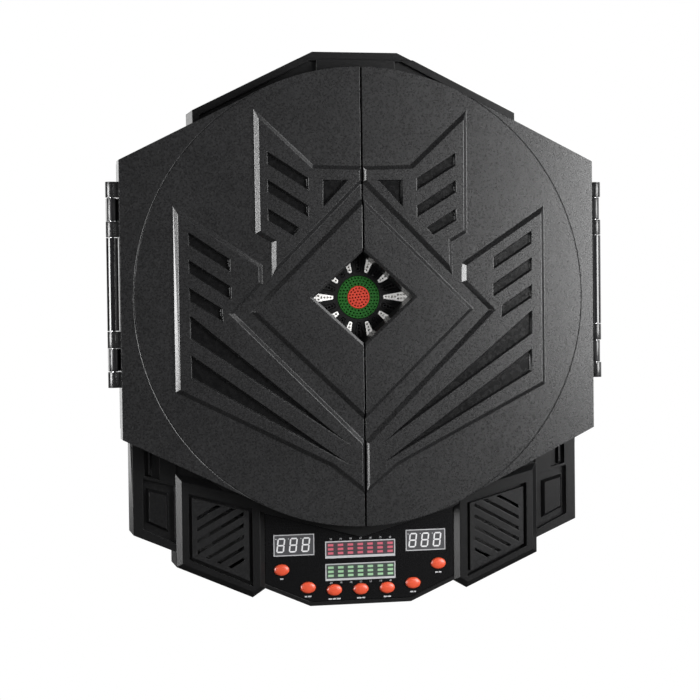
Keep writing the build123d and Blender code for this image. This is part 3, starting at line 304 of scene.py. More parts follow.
# dark colour painted on the louvres' floors as their shade, with a smoother, less grained finish than the
# door
LOUVRE_SHADE_FINISH = moulded("louvre_painted_shade", (0.004, 0.004, 0.0042), 0.26, grain=300.0, strength=0.04,
                       specular=0.22)
CONE_BLACK = moulded("cone_paper", (0.02, 0.02, 0.02), 0.7, grain=500.0, strength=0.5, mottle=0.2)

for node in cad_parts.values():
    for slot in node.material_slots:
        slot.material = FINISHES[slot.material.name.split(".")[0]]


# ---------------------------------------------------------------- shapes
MOST_CUT = 0.45
HOLE_TAPER = 0.85     # width of a blind hole's floor against its mouth
WELD_2D = 1e-5        # points nearer than this are one point in a flat mesh


class Shape:
    """Points in millimetres and the faces between them while one piece is built."""

    def __init__(self):
        self.points = []
        self.faces = []

    def ring(self, outline, height):
        """Adds an outline at a height and returns the numbers of its points."""
        first = len(self.points)
        self.points += [(x, -height, z) for x, z in outline]
        return list(range(first, len(self.points)))

    def wall(self, low, high):
        for k in range(len(low)):
            following = (k + 1) % len(low)
            self.faces.append((low[k], low[following], high[following], high[k]))

    def cap(self, ring):
        self.faces.append(tuple(ring))

    def stack(self, rings):
        """Closed body through a list of (outline, height)."""
        made = [self.ring(outline, height) for outline, height in rings]
        for low, high in zip(made, made[1:]):
            self.wall(low, high)
        self.cap(made[0])
        self.cap(made[-1])

    def add(self, other, place):
        """Adds another shape with every point moved by place."""
        first = len(self.points)
        self.points += [place(p) for p in other.points]
        self.faces += [tuple(first + k for k in face) for face in other.faces]


def mount(name, mesh, work, body, finish):
    """Writes the worked geometry into the mesh and lets it ride on a body as an object."""
    work.to_mesh(mesh)
    work.free()
    mesh.materials.clear()
    mesh.materials.append(finish)
    made = bpy.data.objects.new(name, mesh)
    bpy.context.scene.collection.objects.link(made)
    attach(made, body)
    return made


def piece(name, shape, body, finish, replaces=()):
    """Makes a shape into an object that rides on a body, in place of the nodes it replaces."""
    mesh = bpy.data.meshes.new(name)
    mesh.from_pydata([[c * MM for c in p] for p in shape.points], [], shape.faces)
    work = bmesh.new()
    work.from_mesh(mesh)
    bmesh.ops.recalc_face_normals(work, faces=work.faces)
    made = mount(name, mesh, work, body, finish)
    if replaces:
        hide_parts(*replaces)
    return made


def smooth(made, angle=35):
    """Rounded shading where faces meet at less than the angle, in degrees."""
    made.data.polygons.foreach_set("use_smooth", [True] * len(made.data.polygons))
    made.data.set_sharp_from_angle(angle=math.radians(angle))
    return made


def ellipse(centre, half, count, start=0.0):
    turns = [start + 2 * math.pi * k / count for k in range(count)]
    return [(centre[0] + half[0] * math.cos(t), centre[1] + half[1] * math.sin(t)) for t in turns]


def circle(centre, radius, count, start=0.0):
    return ellipse(centre, (radius, radius), count, start)


def rectangle(centre, size):
    x, z = centre
    a, b = size[0] / 2, size[1] / 2
    return [(x - a, z - b), (x + a, z - b), (x + a, z + b), (x - a, z + b)]


def rounded(points, radii, steps=3):
    """Outline with its corners eased; radii gives each corner's cut, 0 for none.

    A cut never takes more than MOST_CUT of a side, so two neighbours can't cross.
    """
    made = []
    for k, (x, z) in enumerate(points):
        if not radii[k]:
            made.append((x, z))
            continue
        ends = []
        for other in (points[k - 1], points[(k + 1) % len(points)]):
            reach = math.hypot(other[0] - x, other[1] - z)
            share = min(radii[k] / reach, MOST_CUT)
            ends.append((x + (other[0] - x) * share, z + (other[1] - z) * share))
        for step in range(steps + 1):
            t = step / steps
            weights = ((1 - t) ** 2, 2 * t * (1 - t), t * t)
            corners = (ends[0], (x, z), ends[1])
            made.append(tuple(sum(w * c[axis] for w, c in zip(weights, corners)) for axis in (0, 1)))
    return made


def perforated(edges, holes, top, rear, depth):
    """Plate between top and rear with a chamfered edge and blind holes.

    edges holds (outline at the top, outline at the shoulder, chamfer) for the outer edge and
    then for each edge of an opening through the plate; holes holds the outlines of the holes.
    """
    shape = Shape()
    loops = [edge[0] for edge in edges] + holes
    flat, spans = [], []
    for loop in loops:
        spans.append((len(flat), len(loop)))
        flat += loop
    constraints = []
    for first, count in spans[1:]:
        constraints += [(first + k, first + (k + 1) % count) for k in range(count)]
    outer = list(range(spans[0][1]))
    found = delaunay_2d_cdt([Vector(p) for p in flat], constraints, [outer], 2, WELD_2D)
    shape.ring([tuple(p) for p in found[0]], top)
    shape.faces += [tuple(face) for face in found[2]]
    number = {}
    for new, originals in enumerate(found[3]):
        for original in originals:
            number[original] = new
    rings = [[number[first + k] for k in range(count)] for first, count in spans]
    bases = []
    for ring, (_, shoulder, chamfer) in zip(rings, edges):
        upper = shape.ring(shoulder, top - chamfer)
        lower = shape.ring(shoulder, rear)
        shape.wall(upper, ring)
        shape.wall(lower, upper)
        bases.append(lower)
    if len(bases) == 1:
        shape.cap(bases[0])
    else:
        shape.wall(bases[0], bases[1])
    for ring, loop in zip(rings[len(edges):], holes):
        middle = [sum(p[axis] for p in loop) / len(loop) for axis in (0, 1)]
        narrow = [tuple(middle[axis] + HOLE_TAPER * (p[axis] - middle[axis]) for axis in (0, 1))
                  for p in loop]
        floor = shape.ring(narrow, top - depth)
        shape.wall(floor, ring)
        shape.cap(floor)
    return shape


# ---------------------------------------------------------------- scoring segments
CHAMFER = 0.45
HOLE_R = 1.15
HOLE_DEPTH = 6.0
ROW_PITCH = 3.0
HOLE_PITCH = 3.6
HOLE_MARGIN = 1.8
HOLE_CLEARANCE = 1.6  # least distance from a hole's centre to the outer side
NARROW_RING = 20.0    # a ring narrower than this has its rows centred between its sides
FIRST_ROW = 3.0       # first row's distance from the inner side in a wider ring


def cell_outline(zone, inset, arc_steps, corners):
    """Ring sector about the +x axis; its inner and outer corners are rounded."""
    inner, outer = zone[0] + GAP + inset, zone[1] - GAP - inset
    off = WEB / 2 + GAP + inset
    arcs = ((outer, arc_steps[1], 1, corners[1]), (inner, arc_steps[0], -1, corners[0]))
    points, radii = [], []
    for radius, steps, turn, corner in arcs:
        half = SECTOR / 2 - math.asin(off / radius)
        for k in range(steps + 1):
            angle = turn * half * (2 * k / steps - 1)
            points.append((radius * math.cos(angle), radius * math.sin(angle)))
            radii.append(corner if k in (0, steps) else 0)
    return rounded(points, radii)


def cell_holes(zone, sides):
    """Rows of dart holes along arcs, each row shifted by half a pitch against the last."""
    inner, outer = zone
    rows = max(1, round((outer - inner - 2 * HOLE_MARGIN) / ROW_PITCH))
    first = inner + FIRST_ROW
    if outer - inner < NARROW_RING:
        first = (inner + outer - (rows - 1) * ROW_PITCH) / 2
    holes = []
    for row in range(rows + 1):
        radius = first + row * ROW_PITCH
        if radius > outer - GAP - HOLE_CLEARANCE:
            break
        half_width = radius * math.sin(SECTOR / 2) - WEB / 2 - GAP
        count = int(2 * (half_width - HOLE_MARGIN) / HOLE_PITCH) + 1
        if count > 2 and row % 2:
            count -= 1
        for k in range(count):
            angle = (k - (count - 1) / 2) * HOLE_PITCH / radius
            holes.append(circle((radius * math.cos(angle), radius * math.sin(angle)), HOLE_R, sides))
    return holes


def segments(name, zone, first, finish, arc_steps, corners, sides):
    """The ten perforated segments of one colour in one ring."""
    outlines = [cell_outline(zone, inset, arc_steps, corners) for inset in (CHAMFER, 0)]
    cell = perforated([(outlines[0], outlines[1], CHAMFER)], cell_holes(zone, sides),
                      SEGMENT_FRONT_H, SEGMENT_REAR_H, HOLE_DEPTH)
    shape = Shape()
    for k in range(first, SECTORS, 2):
        turn = cmath.exp(1j * (math.pi / 2 - SECTOR * k))

        def place(point, turn=turn):
            moved = complex(point[0], point[2]) * turn
            return (moved.real, point[1], moved.imag)

        shape.add(cell, place)
    piece("segments_" + name, shape, "cabinet", finish, [name])


# name, zone, colours, steps of the inner and outer arc, inner and outer corner, sides of a hole
RINGS = [
    ("inner_single", INNER_SINGLE, ("black", "white"), (1, 8), (1.4, 0.9), 8),
    ("triple", TRIPLE, ("red", "green"), (8, 8), (0.9, 0.9), 6),
    ("outer_single", OUTER_SINGLE, ("black", "white"), (8, 12), (0.9, 0.9), 6),
    ("double", DOUBLE, ("red", "green"), (12, 12), (0.9, 0.9), 6),
]
for ring, zone, colours, arc_steps, corners, sides in RINGS:
    for first, colour in enumerate(colours):
        slot = "segment_" + colour
        segments(ring + "_" + colour, zone, first, FINISHES[slot], arc_steps, corners, sides)

# ---------------------------------------------------------------- the two bulls
BULL_CHAMFER = 0.4
EYE_CHAMFER = 0.2     # round the green bull's opening
BULL_SIDES = 96
BULL_HOLE_R = 0.85
BULL_HOLE_SIDES = 10
RED_HOLES = [(6, 2.9), (12, 5.8), (18, 8.6)]             # circles of holes: count and radius
RED_HOLES_START = 0.1
GREEN_HOLES = [(24, 12.75), (30, 15.6), (36, 18.4)]


def bull_holes(circles, start=0.0):
    return [circle(spot, BULL_HOLE_R, BULL_HOLE_SIDES) for count, radius in circles
            for spot in circle((0, 0), radius, count, start)]


def bull(name, edges, holes, body, colour):
    """Round perforated plate; edges are (radius, chamfer), the chamfer below 0 at an opening."""
    rims = [(circle((0, 0), radius - chamfer, BULL_SIDES), circle((0, 0), radius, BULL_SIDES), abs(chamfer))
            for radius, chamfer in edges]
    shape = perforated(rims, holes, BULL_FRONT_H, BULL_REAR_H, HOLE_DEPTH)
    piece(name, shape, body, FINISHES[colour], [body])


bull("bull_red", [(INNER_BULL_R, BULL_CHAMFER)],
     [circle((0, 0), BULL_HOLE_R, BULL_HOLE_SIDES)] + bull_holes(RED_HOLES, RED_HOLES_START),
     "inner_bull", "segment_red")
bull("bull_green", [(OUTER_BULL_R, BULL_CHAMFER), (INNER_BULL_R + GAP, -EYE_CHAMFER)],
     bull_holes(GREEN_HOLES), "outer_bull", "segment_green")


# ---------------------------------------------------------------- numbers
def numerals(name, entries, height, thick, body):
    """Printed or raised numbers; entries are (text, x, z, size, turn about the front axis)."""
    work = bmesh.new()
    for text, x, z, size, turn in entries:
        curve = bpy.data.curves.new(name, "FONT")
        curve.body = text
        curve.size = size * MM
        curve.resolution_u = 3
        curve.extrude = thick / 2 * MM
        curve.align_x = "CENTER"
        curve.align_y = "CENTER"
        holder = bpy.data.objects.new(name, curve)
        mesh = bpy.data.meshes.new_from_object(holder)
        upright = Matrix.Rotation(math.radians(90), 4, "X")
        place = Matrix.Translation((x * MM, -(height + thick / 2) * MM, z * MM))
        mesh.transform(place @ Matrix.Rotation(turn, 4, "Y") @ upright)
        work.from_mesh(mesh)
        bpy.data.objects.remove(holder)
    mount(name, bpy.data.meshes.new(name), work, body, PRINT_WHITE)


ORDER = [20, 1, 18, 4, 13, 6, 10, 15, 2, 17, 3, 19, 7, 16, 8, 11, 14, 9, 12, 5]
DIAL_SIZE = 8.4
DIAL_T = 0.4
dial = []
for k, value in enumerate(ORDER):
    angle = SECTOR * k
    lower = math.cos(angle) < -0.01    # the numbers of the lower half stand upright too
    dial.append((str(value), NUMBER_R * math.sin(angle), NUMBER_R * math.cos(angle), DIAL_SIZE,
                 angle + (math.pi if lower else 0)))
numerals("dial_numbers", dial, NUMBER_FLOOR_H, DIAL_T, "cabinet")

PRINT_T = 0.06
SMALL_SIZE = 2.6
COLUMN_SHARE = 0.95
COLUMNS = [-30.6, -20.4, -10.2, 0.0, 10.2, 20.6]
BULL_MARK_X = 31.0
TOP_NUMBERS_Z = -230.9
LOW_NUMBERS_Z = -272.8
small = []
for z in (TOP_NUMBERS_Z, LOW_NUMBERS_Z):
    small += [(str(20 - k), x * COLUMN_SHARE, z, SMALL_SIZE, 0.0) for k, x in enumerate(COLUMNS)]
numerals("fascia_numbers", small, FASCIA_H, PRINT_T, "cabinet")

# ---------------------------------------------------------------- displays and printed marks
BORDER_T = 0.15


def printed(shape, outline, height):
    """Adds a printed patch to the shape."""
    shape.stack([(outline, height), (outline, height + PRINT_T)])


def border(name, centre, size, widths):
    """Thin rectangular border of a display; widths are left, right, bottom and top."""
    left, right, low, high = widths
    x, z = centre
    a, b = size[0] / 2, size[1] / 2
    bars = [
        ((x, z + b - high / 2), (size[0], high)),
        ((x, z - b + low / 2), (size[0], low)),
        ((x - a + left / 2, z + (low - high) / 2), (left, size[1] - low - high)),
        ((x + a - right / 2, z + (low - high) / 2), (right, size[1] - low - high)),
    ]
    shape = Shape()
    for middle, bar in bars:
        outline = rectangle(middle, bar)
        shape.stack([(outline, DISPLAY_H), (outline, DISPLAY_H + BORDER_T)])
    piece(name, shape, "cabinet", PRINT_WHITE)


SLANT = 0.12
DIGIT_SIZE = (7.6, 14.0)
DIGIT_BAR = 1.35
DIGIT_GAP = 0.12      # gap between two bars, as a share of a bar's width
DIGIT_PITCH = 12.1
DIGIT_SHIFT = -0.6
DOT_PLACE = (-4.6, 6.1)
DOT_R = 0.45
SCORE_BORDER = (0.85, 0.85, 0.85, 0.85)


def digit_bars(width, tall, bar):
    """The seven bars of one numeral about its centre, as pointed strips."""
    a, b, t = width / 2 - bar / 2, tall / 2 - bar / 2, bar / 2
    gap = DIGIT_GAP * bar

    def flat(z):
        e = a - gap - t
        return [(-e - t, z), (-e, z - t), (e, z - t), (e + t, z), (e, z + t), (-e, z + t)]

    def upright(x, z):
        e = b / 2 - gap - t
        return [(x, z - e - t), (x + t, z - e), (x + t, z + e), (x, z + e + t), (x - t, z + e),
                (x - t, z - e)]

    return [flat(b), flat(0), flat(-b), upright(a, b / 2), upright(a, -b / 2), upright(-a, b / 2),
            upright(-a, -b / 2)]


for side in ("left", "right"):
    centre, size = DISPLAYS["score_display_" + side]
    border("score_border_" + side, centre, size, SCORE_BORDER)
    digits = Shape()
    for column in (-1, 0, 1):
        middle = (centre[0] + column * DIGIT_PITCH + DIGIT_SHIFT, centre[1])
        for bar in digit_bars(*DIGIT_SIZE, DIGIT_BAR):
            printed(digits, [(middle[0] + x + SLANT * z, middle[1] + z) for x, z in bar], DISPLAY_H)
        spot = (middle[0] + DOT_PLACE[0], middle[1] + DOT_PLACE[1])
        printed(digits, circle(spot, DOT_R, 12), DISPLAY_H)
    piece("score_digits_" + side, digits, "cabinet", DIGIT_WHITE)

BAR_SIZE = (5.4, 2.2)
BAR_ROWS = (-3.9, 0.0, 3.9)
# colour, finish, border widths, and how far the bars stand above the display's middle
MARK_DISPLAYS = [
    ("red", BAR_RED, (1.0, 1.0, 2.3, 1.0), 0.6),
    ("green", BAR_GREEN, (1.0, 1.0, 1.9, 1.0), 0.5),
]
for colour, finish, widths, shift in MARK_DISPLAYS:
    centre, size = DISPLAYS["cricket_display_" + colour]
    border("cricket_border_" + colour, centre, size, widths)
    bars = Shape()
    for x in COLUMNS + [BULL_MARK_X]:
        for z in BAR_ROWS:
            spot = (centre[0] + x * COLUMN_SHARE, centre[1] + z + shift)
            printed(bars, rectangle(spot, BAR_SIZE), DISPLAY_H)
    piece("cricket_bars_" + colour, bars, "cabinet", finish)

BULL_MARK_RINGS = (0.95, 0.65)
BULL_MARK_DOT_R = 0.35
MARK_DROP = 8.6
MARK_TALL = 1.3
DASH_GAP = 0.8
# lengths of the dashes under each button
MARK_DASHES = [(3.0,), (2.2, 3.4), (3.6, 3.0, 3.6), (4.4, 2.8), (3.0, 3.4), (3.2, 1.8), (2.6, 2.8)]
marks = Shape()
for z in (TOP_NUMBERS_Z, LOW_NUMBERS_Z):
    spot = (BULL_MARK_X * COLUMN_SHARE, z)
    edges = [circle(spot, radius, 20) for radius in BULL_MARK_RINGS]
    low = [marks.ring(edge, FASCIA_H) for edge in edges]
    high = [marks.ring(edge, FASCIA_H + PRINT_T) for edge in edges]
    marks.wall(low[0], high[0])
    marks.wall(high[1], low[1])
    marks.wall(high[0], high[1])
    marks.wall(low[1], low[0])
    printed(marks, circle(spot, BULL_MARK_DOT_R, 12), FASCIA_H)
for (x, z), dashes in zip(BUTTONS, MARK_DASHES):
    start = x - (sum(dashes) + DASH_GAP * (len(dashes) - 1)) / 2
    for dash in dashes:
        printed(marks, rectangle((start + dash / 2, z - MARK_DROP), (dash, MARK_TALL)), FASCIA_H)
        start += dash + DASH_GAP
piece("fascia_marks", marks, "cabinet", PRINT_WHITE)

# ---------------------------------------------------------------- buttons
BUTTON_SIDES = 40
STEM_R = 2.5
STEM_REAR_H = 33.1
COLLAR_H = (35.0, 36.2)
COLLAR_RIM = 1.5
COLLAR_HALF = (BUTTON_HALF[0] + COLLAR_RIM, BUTTON_HALF[1] + COLLAR_RIM)
BUTTON_BASE_H = 40.4
BUTTON_TOP_H = 42.8
CROWN_RINGS = 9
CROWN_SPREAD = 0.8    # below 1 the rings of the crown lie closer to its edge
CROWN_POWER = 2.2     # 2 is half an ellipse, more is flatter on top

levels = [((STEM_R, STEM_R), STEM_REAR_H), ((STEM_R, STEM_R), COLLAR_H[0]), (COLLAR_HALF, COLLAR_H[0]),
          (COLLAR_HALF, COLLAR_H[1]), (BUTTON_HALF, COLLAR_H[1]), (BUTTON_HALF, BUTTON_BASE_H)]
for k in range(1, CROWN_RINGS):
    share = math.cos(math.pi / 2 * k / CROWN_RINGS) ** CROWN_SPREAD
    rise = (1 - share ** CROWN_POWER) ** (1 / CROWN_POWER)
    levels.append(((BUTTON_HALF[0] * share, BUTTON_HALF[1] * share),
                   BUTTON_BASE_H + (BUTTON_TOP_H - BUTTON_BASE_H) * rise))
for number, centre in enumerate(BUTTONS, start=1):
    shape = Shape()
    shape.stack([(ellipse(centre, half, BUTTON_SIDES), height) for half, height in levels])
    body = "button_" + str(number)
    smooth(piece("cap_" + str(number), shape, body, FINISHES["button_orange"], [body]))


# ---------------------------------------------------------------- screws
SCREW_SIDES = 24
CROSS_ARM = 0.13      # half width and reach of the cross recess, and the flat crown's radius,
CROSS_REACH = 0.5     # as shares of the head's radius
CROWN_R = 0.66
HEAD_STEPS = ((0.88, 0.86), (1.0, 0.5), (1.0, 0.0))      # the head's side: radius and height
RECESS_TAPER = 0.7
RECESS_FLOOR = 0.35
THREAD_PITCH = 1.2
THREAD_ROOT = 0.78    # radius between two threads, as a share of the shank's
TIP_R = 0.5
WELD_SCREW = 1e-6
SCREW_TWIST = 0.7     # each screw of a group stops at a different angle, in radians


def screw(head_r, head_t, shank_r, length):
    """Pan-head screw with a cross recess; it points along +y and its head stands up along -y from 0."""
    arm, reach = head_r * CROSS_ARM, head_r * CROSS_REACH
    cross = [(arm, arm), (arm, reach), (-arm, reach), (-arm, arm), (-reach, arm), (-reach, -arm),
             (-arm, -arm), (-arm, -reach), (arm, -reach), (arm, -arm), (reach, -arm), (reach, arm)]
    crown = circle((0, 0), head_r * CROWN_R, SCREW_SIDES)
    corners = [SCREW_SIDES + k for k in range(len(cross))]
    constraints = list(zip(corners, corners[1:] + corners[:1]))
    found = delaunay_2d_cdt([Vector(p) for p in crown + cross], constraints,
                            [list(range(SCREW_SIDES))], 2, WELD_SCREW)
    shape = Shape()
    shape.ring([tuple(p) for p in found[0]], head_t)
    shape.faces += [tuple(face) for face in found[2]]
    number = {old: new for new, olds in enumerate(found[3]) for old in olds}
    upper = [number[k] for k in range(SCREW_SIDES)]
    for share, rise in HEAD_STEPS:
        lower = shape.ring(circle((0, 0), head_r * share, SCREW_SIDES), head_t * rise)
        shape.wall(lower, upper)
        upper = lower
    thread = shape.ring(circle((0, 0), shank_r, SCREW_SIDES), 0)
    shape.wall(thread, upper)
    turns = int(length / THREAD_PITCH)
    for k in range(1, 2 * turns):
        radius = shank_r * (THREAD_ROOT if k % 2 else 1.0)
        deeper = shape.ring(circle((0, 0), radius, SCREW_SIDES), -length * k / (2 * turns))
        shape.wall(deeper, thread)
        thread = deeper
    tip = shape.ring(circle((0, 0), shank_r * TIP_R, SCREW_SIDES), -length)
    shape.wall(tip, thread)
    shape.cap(tip)
    floor = shape.ring([(x * RECESS_TAPER, z * RECESS_TAPER) for x, z in cross], head_t * RECESS_FLOOR)
    rim = [number[k] for k in corners]
    shape.wall(floor, rim)
    shape.cap(floor)
    return shape


def screws(name, sizes, places, body):
    """One piece with a screw at each (position, direction the head faces)."""
    template = screw(*sizes)
    shape = Shape()
    for number, (spot, facing) in enumerate(places):
        turn = Vector((0, -1, 0)).rotation_difference(Vector(facing)).to_matrix()
        twist = Matrix.Rotation(SCREW_TWIST * number, 3, "Y")
        shape.add(template, lambda p, t=turn @ twist, s=Vector(spot): tuple(t @ Vector(p) + s))
    made = piece("turned_" + name, shape, body, FINISHES["screw_steel"], [name])
    return smooth(made, 40)


def both(points):
    return [(s * x, z) for s in (1, -1) for x, z in points]


def polar(radius, count, start):
    return circle((0, 0), radius, count, math.radians(start))


def seated(points, height, facing):
    """Places for screws whose heads bear on a surface at this height."""
    return [((x, -height, z), facing) for x, z in points]


# head radius, head height, shank radius and length of each kind of screw
COVER_SCREW = (3.2, 1.15, 1.4, 13.0)
BOARD_SCREW = (2.9, 1.8, 1.4, 7.0)
TARGET_SCREW = (2.9, 1.8, 1.4, 8.0)
LINER_SCREW = (2.4, 1.4, 1.15, 2.8)
HINGE_SCREW = (2.2, 1.4, 1.2, 9.8)
# heights of the surfaces that their heads bear on
COVER_SEAT_H = 1.2
BOARD_SEAT_H = 11.6
PLATE_SEAT_H = 27.7
EAR_SEAT_H = 33.5
LINER_SEAT_H = 61.0
TO_FRONT = (0, -1, 0)
TO_WALL = (0, 1, 0)
HINGE_SEAT_X = 227
HINGE_SCREW_H = 31
HINGE_SCREW_OFF = 6   # above and below the middle of a lug

screws("rear_screws", COVER_SCREW, seated(both(COVER_POSTS), COVER_SEAT_H, TO_WALL), "cabinet")
screws("board_screws", BOARD_SCREW, seated(both(MAIN_BOARD_HOLES), BOARD_SEAT_H, TO_FRONT), "cabinet")
target = seated(polar(TARGET_SCREW_R, 8, 22.5), PLATE_SEAT_H, TO_WALL)
target += seated(polar(FRAME_EAR_R, 4, 0), EAR_SEAT_H, TO_WALL)
screws("target_screws", TARGET_SCREW, target, "cabinet")
for s, side in SIDES:
    liner = [(s * x, z) for x, z in LINER_SCREWS]
    screws("liner_screws_" + side, LINER_SCREW, seated(liner, LINER_SEAT_H, TO_WALL), "door_" + side)
    hinge = [((s * HINGE_SEAT_X, -HINGE_SCREW_H, z + off), (s, 0, 0))
             for z in LUG_CENTRES for off in (-HINGE_SCREW_OFF, HINGE_SCREW_OFF)]
    screws("hinge_screws_" + side, HINGE_SCREW, hinge, "cabinet")


# ---------------------------------------------------------------- painted shade: dark skins on the floors of the doors' louvres
DOOR_FACE_H = 65.0
LOUVRE_INSET = 1.3
LOUVRE_SKIN = 0.12
LOUVRES = [
    [(52.1, 111.6), (90.7, 136.2), (90.7, 124.2), (52.1, 100.4)],
    [(52.1, 85.6), (90.7, 110.2), (90.7, 98.8), (52.1, 75.0)],
    [(60.7, 65.2), (90.7, 83.6), (90.7, 72.0), (67.2, 58.0)],
    [(13.9, 110.2), (38.5, 110.2), (38.5, 84.4)],
    [(126.9, 36.7), (165.4, 62.0), (165.4, 50.0), (126.9, 25.2)],
    [(126.1, 11.1), (165.3, 36.4), (165.3, 24.2), (126.1, -1.2)],
    [(134.8, -9.0), (165.2, 10.6), (165.2, -1.8), (133.9, -21.4)],
    [(164.9, -14.4), (164.9, -36.4), (18.5, -136.2)],
    [(164.4, -51.2), (164.4, -72.6), (17.4, -156.2)],
]


def shrunk(points, inset):
    """Convex outline, given clockwise, with every side moved inwards by inset."""
    lines = []
    for (x0, z0), (x1, z1) in zip(points, points[1:] + points[:1]):
        reach = math.hypot(x1 - x0, z1 - z0)
        inward = ((z1 - z0) / reach, (x0 - x1) / reach)
        lines.append((inward, inward[0] * x0 + inward[1] * z0 + inset))
    made = []
    for (a, b), (c, d) in zip(lines[-1:] + lines[:-1], lines):
        across = a[0] * c[1] - a[1] * c[0]
        made.append(((b * c[1] - a[1] * d) / across, (a[0] * d - b * c[0]) / across))
    return made


# thin dark skins on the louvres' floors: painted shade in the recesses
for s, side in SIDES:
    shade_skins = Shape()
    for louvre in LOUVRES:
        lower = [(s * x, z) for x, z in shrunk(louvre, LOUVRE_INSET)]
        upper = [(s * x, z) for x, z in shrunk(louvre, LOUVRE_INSET + LOUVRE_SKIN)]
        shade_skins.stack([(lower, DOOR_FACE_H), (upper, DOOR_FACE_H + LOUVRE_SKIN)])
    piece("louvre_shade_skin_" + side, shade_skins, "door_" + side, LOUVRE_SHADE_FINISH)


# ---------------------------------------------------------------- loudspeakers
SPEAKER_SIDES = 48
AXIS_R = 0.05         # stands for a radius of 0, so that the caps keep their corners
# profiles from the front to the rear as (radius, depth behind the loudspeaker's face)
CONE = [(0, 6.4), (3, 6.6), (6, 7.2), (8.6, 8.1), (9.2, 8.2), (14.8, 5.4), (20.4, 2.5), (21.2, 1.4),
        (22.6, 0.8), (24.0, 1.2), (24.8, 2.0), (24.2, 2.4), (9, 9.6), (0, 9.6)]
BASKET = [(0, 9.7), (9, 9.7), (24.3, 2.45), (24.9, 2.1), (25.2, 0.4), (25.5, 0.1), (28, 0.1), (28, 2.4),
          (25, 2.7), (14, 11), (13.6, 19.7), (13.2, 20), (0, 20)]


def turned(centre, profile):
    """Body of revolution about the loudspeaker's axis."""
    shape = Shape()
    shape.stack([(circle(centre, max(radius, AXIS_R), SPEAKER_SIDES), SPEAKER_H - depth)
                 for radius, depth in profile])
    return shape


for s, side in SIDES:
    centre = (s * SPEAKER_CENTRE[0], SPEAKER_CENTRE[1])
    smooth(piece("speaker_basket_" + side, turned(centre, BASKET), "cabinet", FINISHES["speaker_metal"],
                 ["speaker_" + side]))
    smooth(piece("speaker_cone_" + side, turned(centre, CONE), "cabinet", CONE_BLACK))

# ---------------------------------------------------------------- eased edges on the frame's mouldings
EASE_ANGLE = 28       # edges that turn by more than this are eased, in degrees
WELD_GAP = 0.01
EASED = {"door_left": 0.25, "door_right": 0.25, "housing_front": 0.35, "rear_cover": 0.3,
         "speaker_grille_left": 0.3, "speaker_grille_right": 0.3, "console_fascia": 0.2,
         "hinge_brackets_left": 0.25, "hinge_brackets_right": 0.25, "dart_rack_left": 0.4,
         "dart_rack_right": 0.4}
for name, width in EASED.items():
    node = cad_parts[name]
    weld = node.modifiers.new("weld", "WELD")
    weld.merge_threshold = WELD_GAP * MM
    ease = node.modifiers.new("ease", "BEVEL")
    ease.width = width * MM
    ease.segments = 2
    ease.limit_method = "ANGLE"
    ease.angle_limit = math.radians(EASE_ANGLE)
    ease.use_clamp_overlap = False
    ease.harden_normals = False

# ---------------------------------------------------------------- floor, light and camera, in metres
FLOOR_Z = -0.36
FLOOR_SIZE = 30
AMBIENT = 0.06


def seen_white(tree, shown, otherwise):
    """White for the camera itself, and another shader for the light that reaches the object."""
    seen = tree.nodes.new("ShaderNodeLightPath")
    choose = tree.nodes.new("ShaderNodeMixShader")
    tree.links.new(seen.outputs["Is Camera Ray"], choose.inputs["Fac"])
    tree.links.new(otherwise, choose.inputs[1])
    tree.links.new(shown, choose.inputs[2])
    return choose.outputs["Shader"]


bpy.ops.mesh.primitive_plane_add(size=FLOOR_SIZE, location=(0, 0, FLOOR_Z))
floor = bpy.context.object
floor.name = "studio_floor"
pale, tree, shader = new_material("studio_white", (0.12, 0.12, 0.12), 0.9)
shine = tree.nodes.new("ShaderNodeEmission")
shine.inputs["Strength"].default_value = 1.0
surface = seen_white(tree, shine.outputs["Emission"], shader.outputs["BSDF"])
tree.links.new(surface, tree.nodes["Material Output"].inputs["Surface"])
floor.data.materials.append(pale)
floor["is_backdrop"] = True

world = bpy.data.worlds.new("studio")
bpy.context.scene.world = world
world.use_nodes = True
tree = world.node_tree
backdrop = tree.nodes["Background"]
backdrop.inputs["Color"].default_value = (1, 1, 1, 1)
backdrop.inputs["Strength"].default_value = 1.0
ambient = tree.nodes.new("ShaderNodeBackground")
ambient.inputs["Color"].default_value = (1, 1, 1, 1)
ambient.inputs["Strength"].default_value = AMBIENT
surface = seen_white(tree, backdrop.outputs["Background"], ambient.outputs["Background"])
tree.links.new(surface, tree.nodes["World Output"].inputs["Surface"])


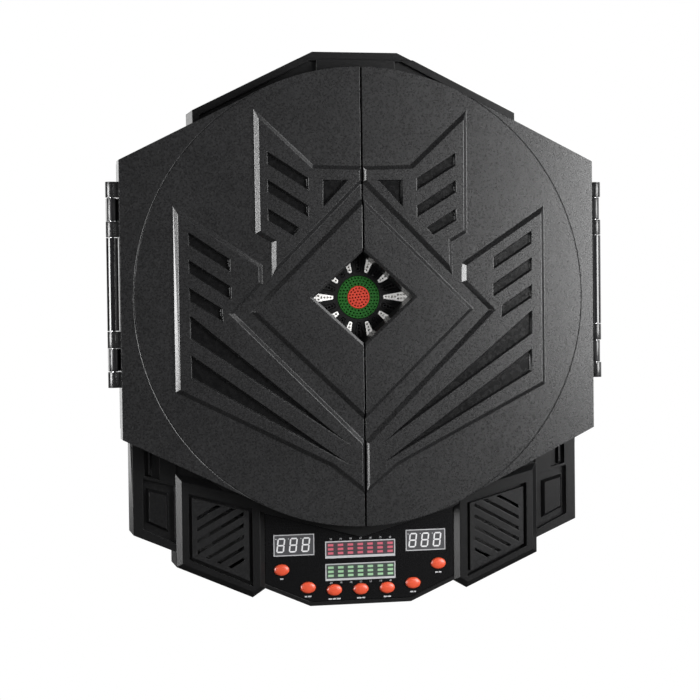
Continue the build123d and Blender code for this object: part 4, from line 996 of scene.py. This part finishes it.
def softbox(name, place, aim, size, radiance, mirrored, scattered):
    """Area light; mirrored lets it show in gloss, and scattered lets it light matt surfaces."""
    light = bpy.data.lights.new(name, "AREA")
    light.shape = "RECTANGLE"
    light.size, light.size_y = size
    light.energy = radiance * math.pi * size[0] * size[1]
    holder = bpy.data.objects.new(name, light)
    holder.location = place
    holder.rotation_euler = (Vector(aim) - Vector(place)).to_track_quat("-Z", "Y").to_euler()
    holder.visible_camera = False
    holder.visible_glossy = mirrored
    holder.visible_diffuse = scattered
    bpy.context.scene.collection.objects.link(holder)


# name, place, aim, size, radiance, mirrored, scattered
LIGHTS = [
    ("sheen", (0.95, -0.95, 0.13), (0.15, 0, 0.08), (0.7, 0.65), 18.0, True, True),
    ("key", (-1.0, -2.1, 0.5), (0, 0, 0), (1.0, 0.9), 9.6, False, True),
    ("left_strip", (-1.4, -0.66, -0.05), (-0.05, -0.07, 0.0), (0.7, 1.1), 25.0, True, False),
    ("upper_right", (1.13, -0.45, 0.94), (0, -0.05, 0.0), (0.5, 0.5), 6.5, True, True),
    ("backdrop", (-0.3, 1.8, 0.0), (0, 0, 0), (2.6, 1.6), 1.6, True, True),
    ("right_back", (1.5, 0.5, 0.1), (0, 0, 0), (0.8, 0.8), 2.0, True, True),
]
for light in LIGHTS:
    softbox(*light)

LENS = 96.3           # in millimetres, on a sensor of SENSOR
SENSOR = 36.0
CAMERA_PLACE = (-0.3945, -1.784, 0.0066)
# turns about the fixed axes in degrees, the last one first; 90 about x looks along +y
CAMERA_TURNS = ((-12.498, "Z"), (-1.824, "X"), (0.685, "Y"), (90, "X"))
lens = bpy.data.cameras.new("camera")
lens.lens = LENS
lens.sensor_width = SENSOR
camera = bpy.data.objects.new("camera", lens)
camera.location = CAMERA_PLACE
turn = Matrix.Identity(3)
for angle, axis in CAMERA_TURNS:
    turn = turn @ Matrix.Rotation(math.radians(angle), 3, axis)
camera.rotation_euler = turn.to_euler()
bpy.context.scene.collection.objects.link(camera)
bpy.context.scene.camera = camera
bpy.context.scene.view_settings.view_transform = "Standard"
bpy.context.scene.view_settings.look = "None"

size = {"cad": [list(corner) for corner in CAD_BOX], "visual": [list(corner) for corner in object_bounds()]}
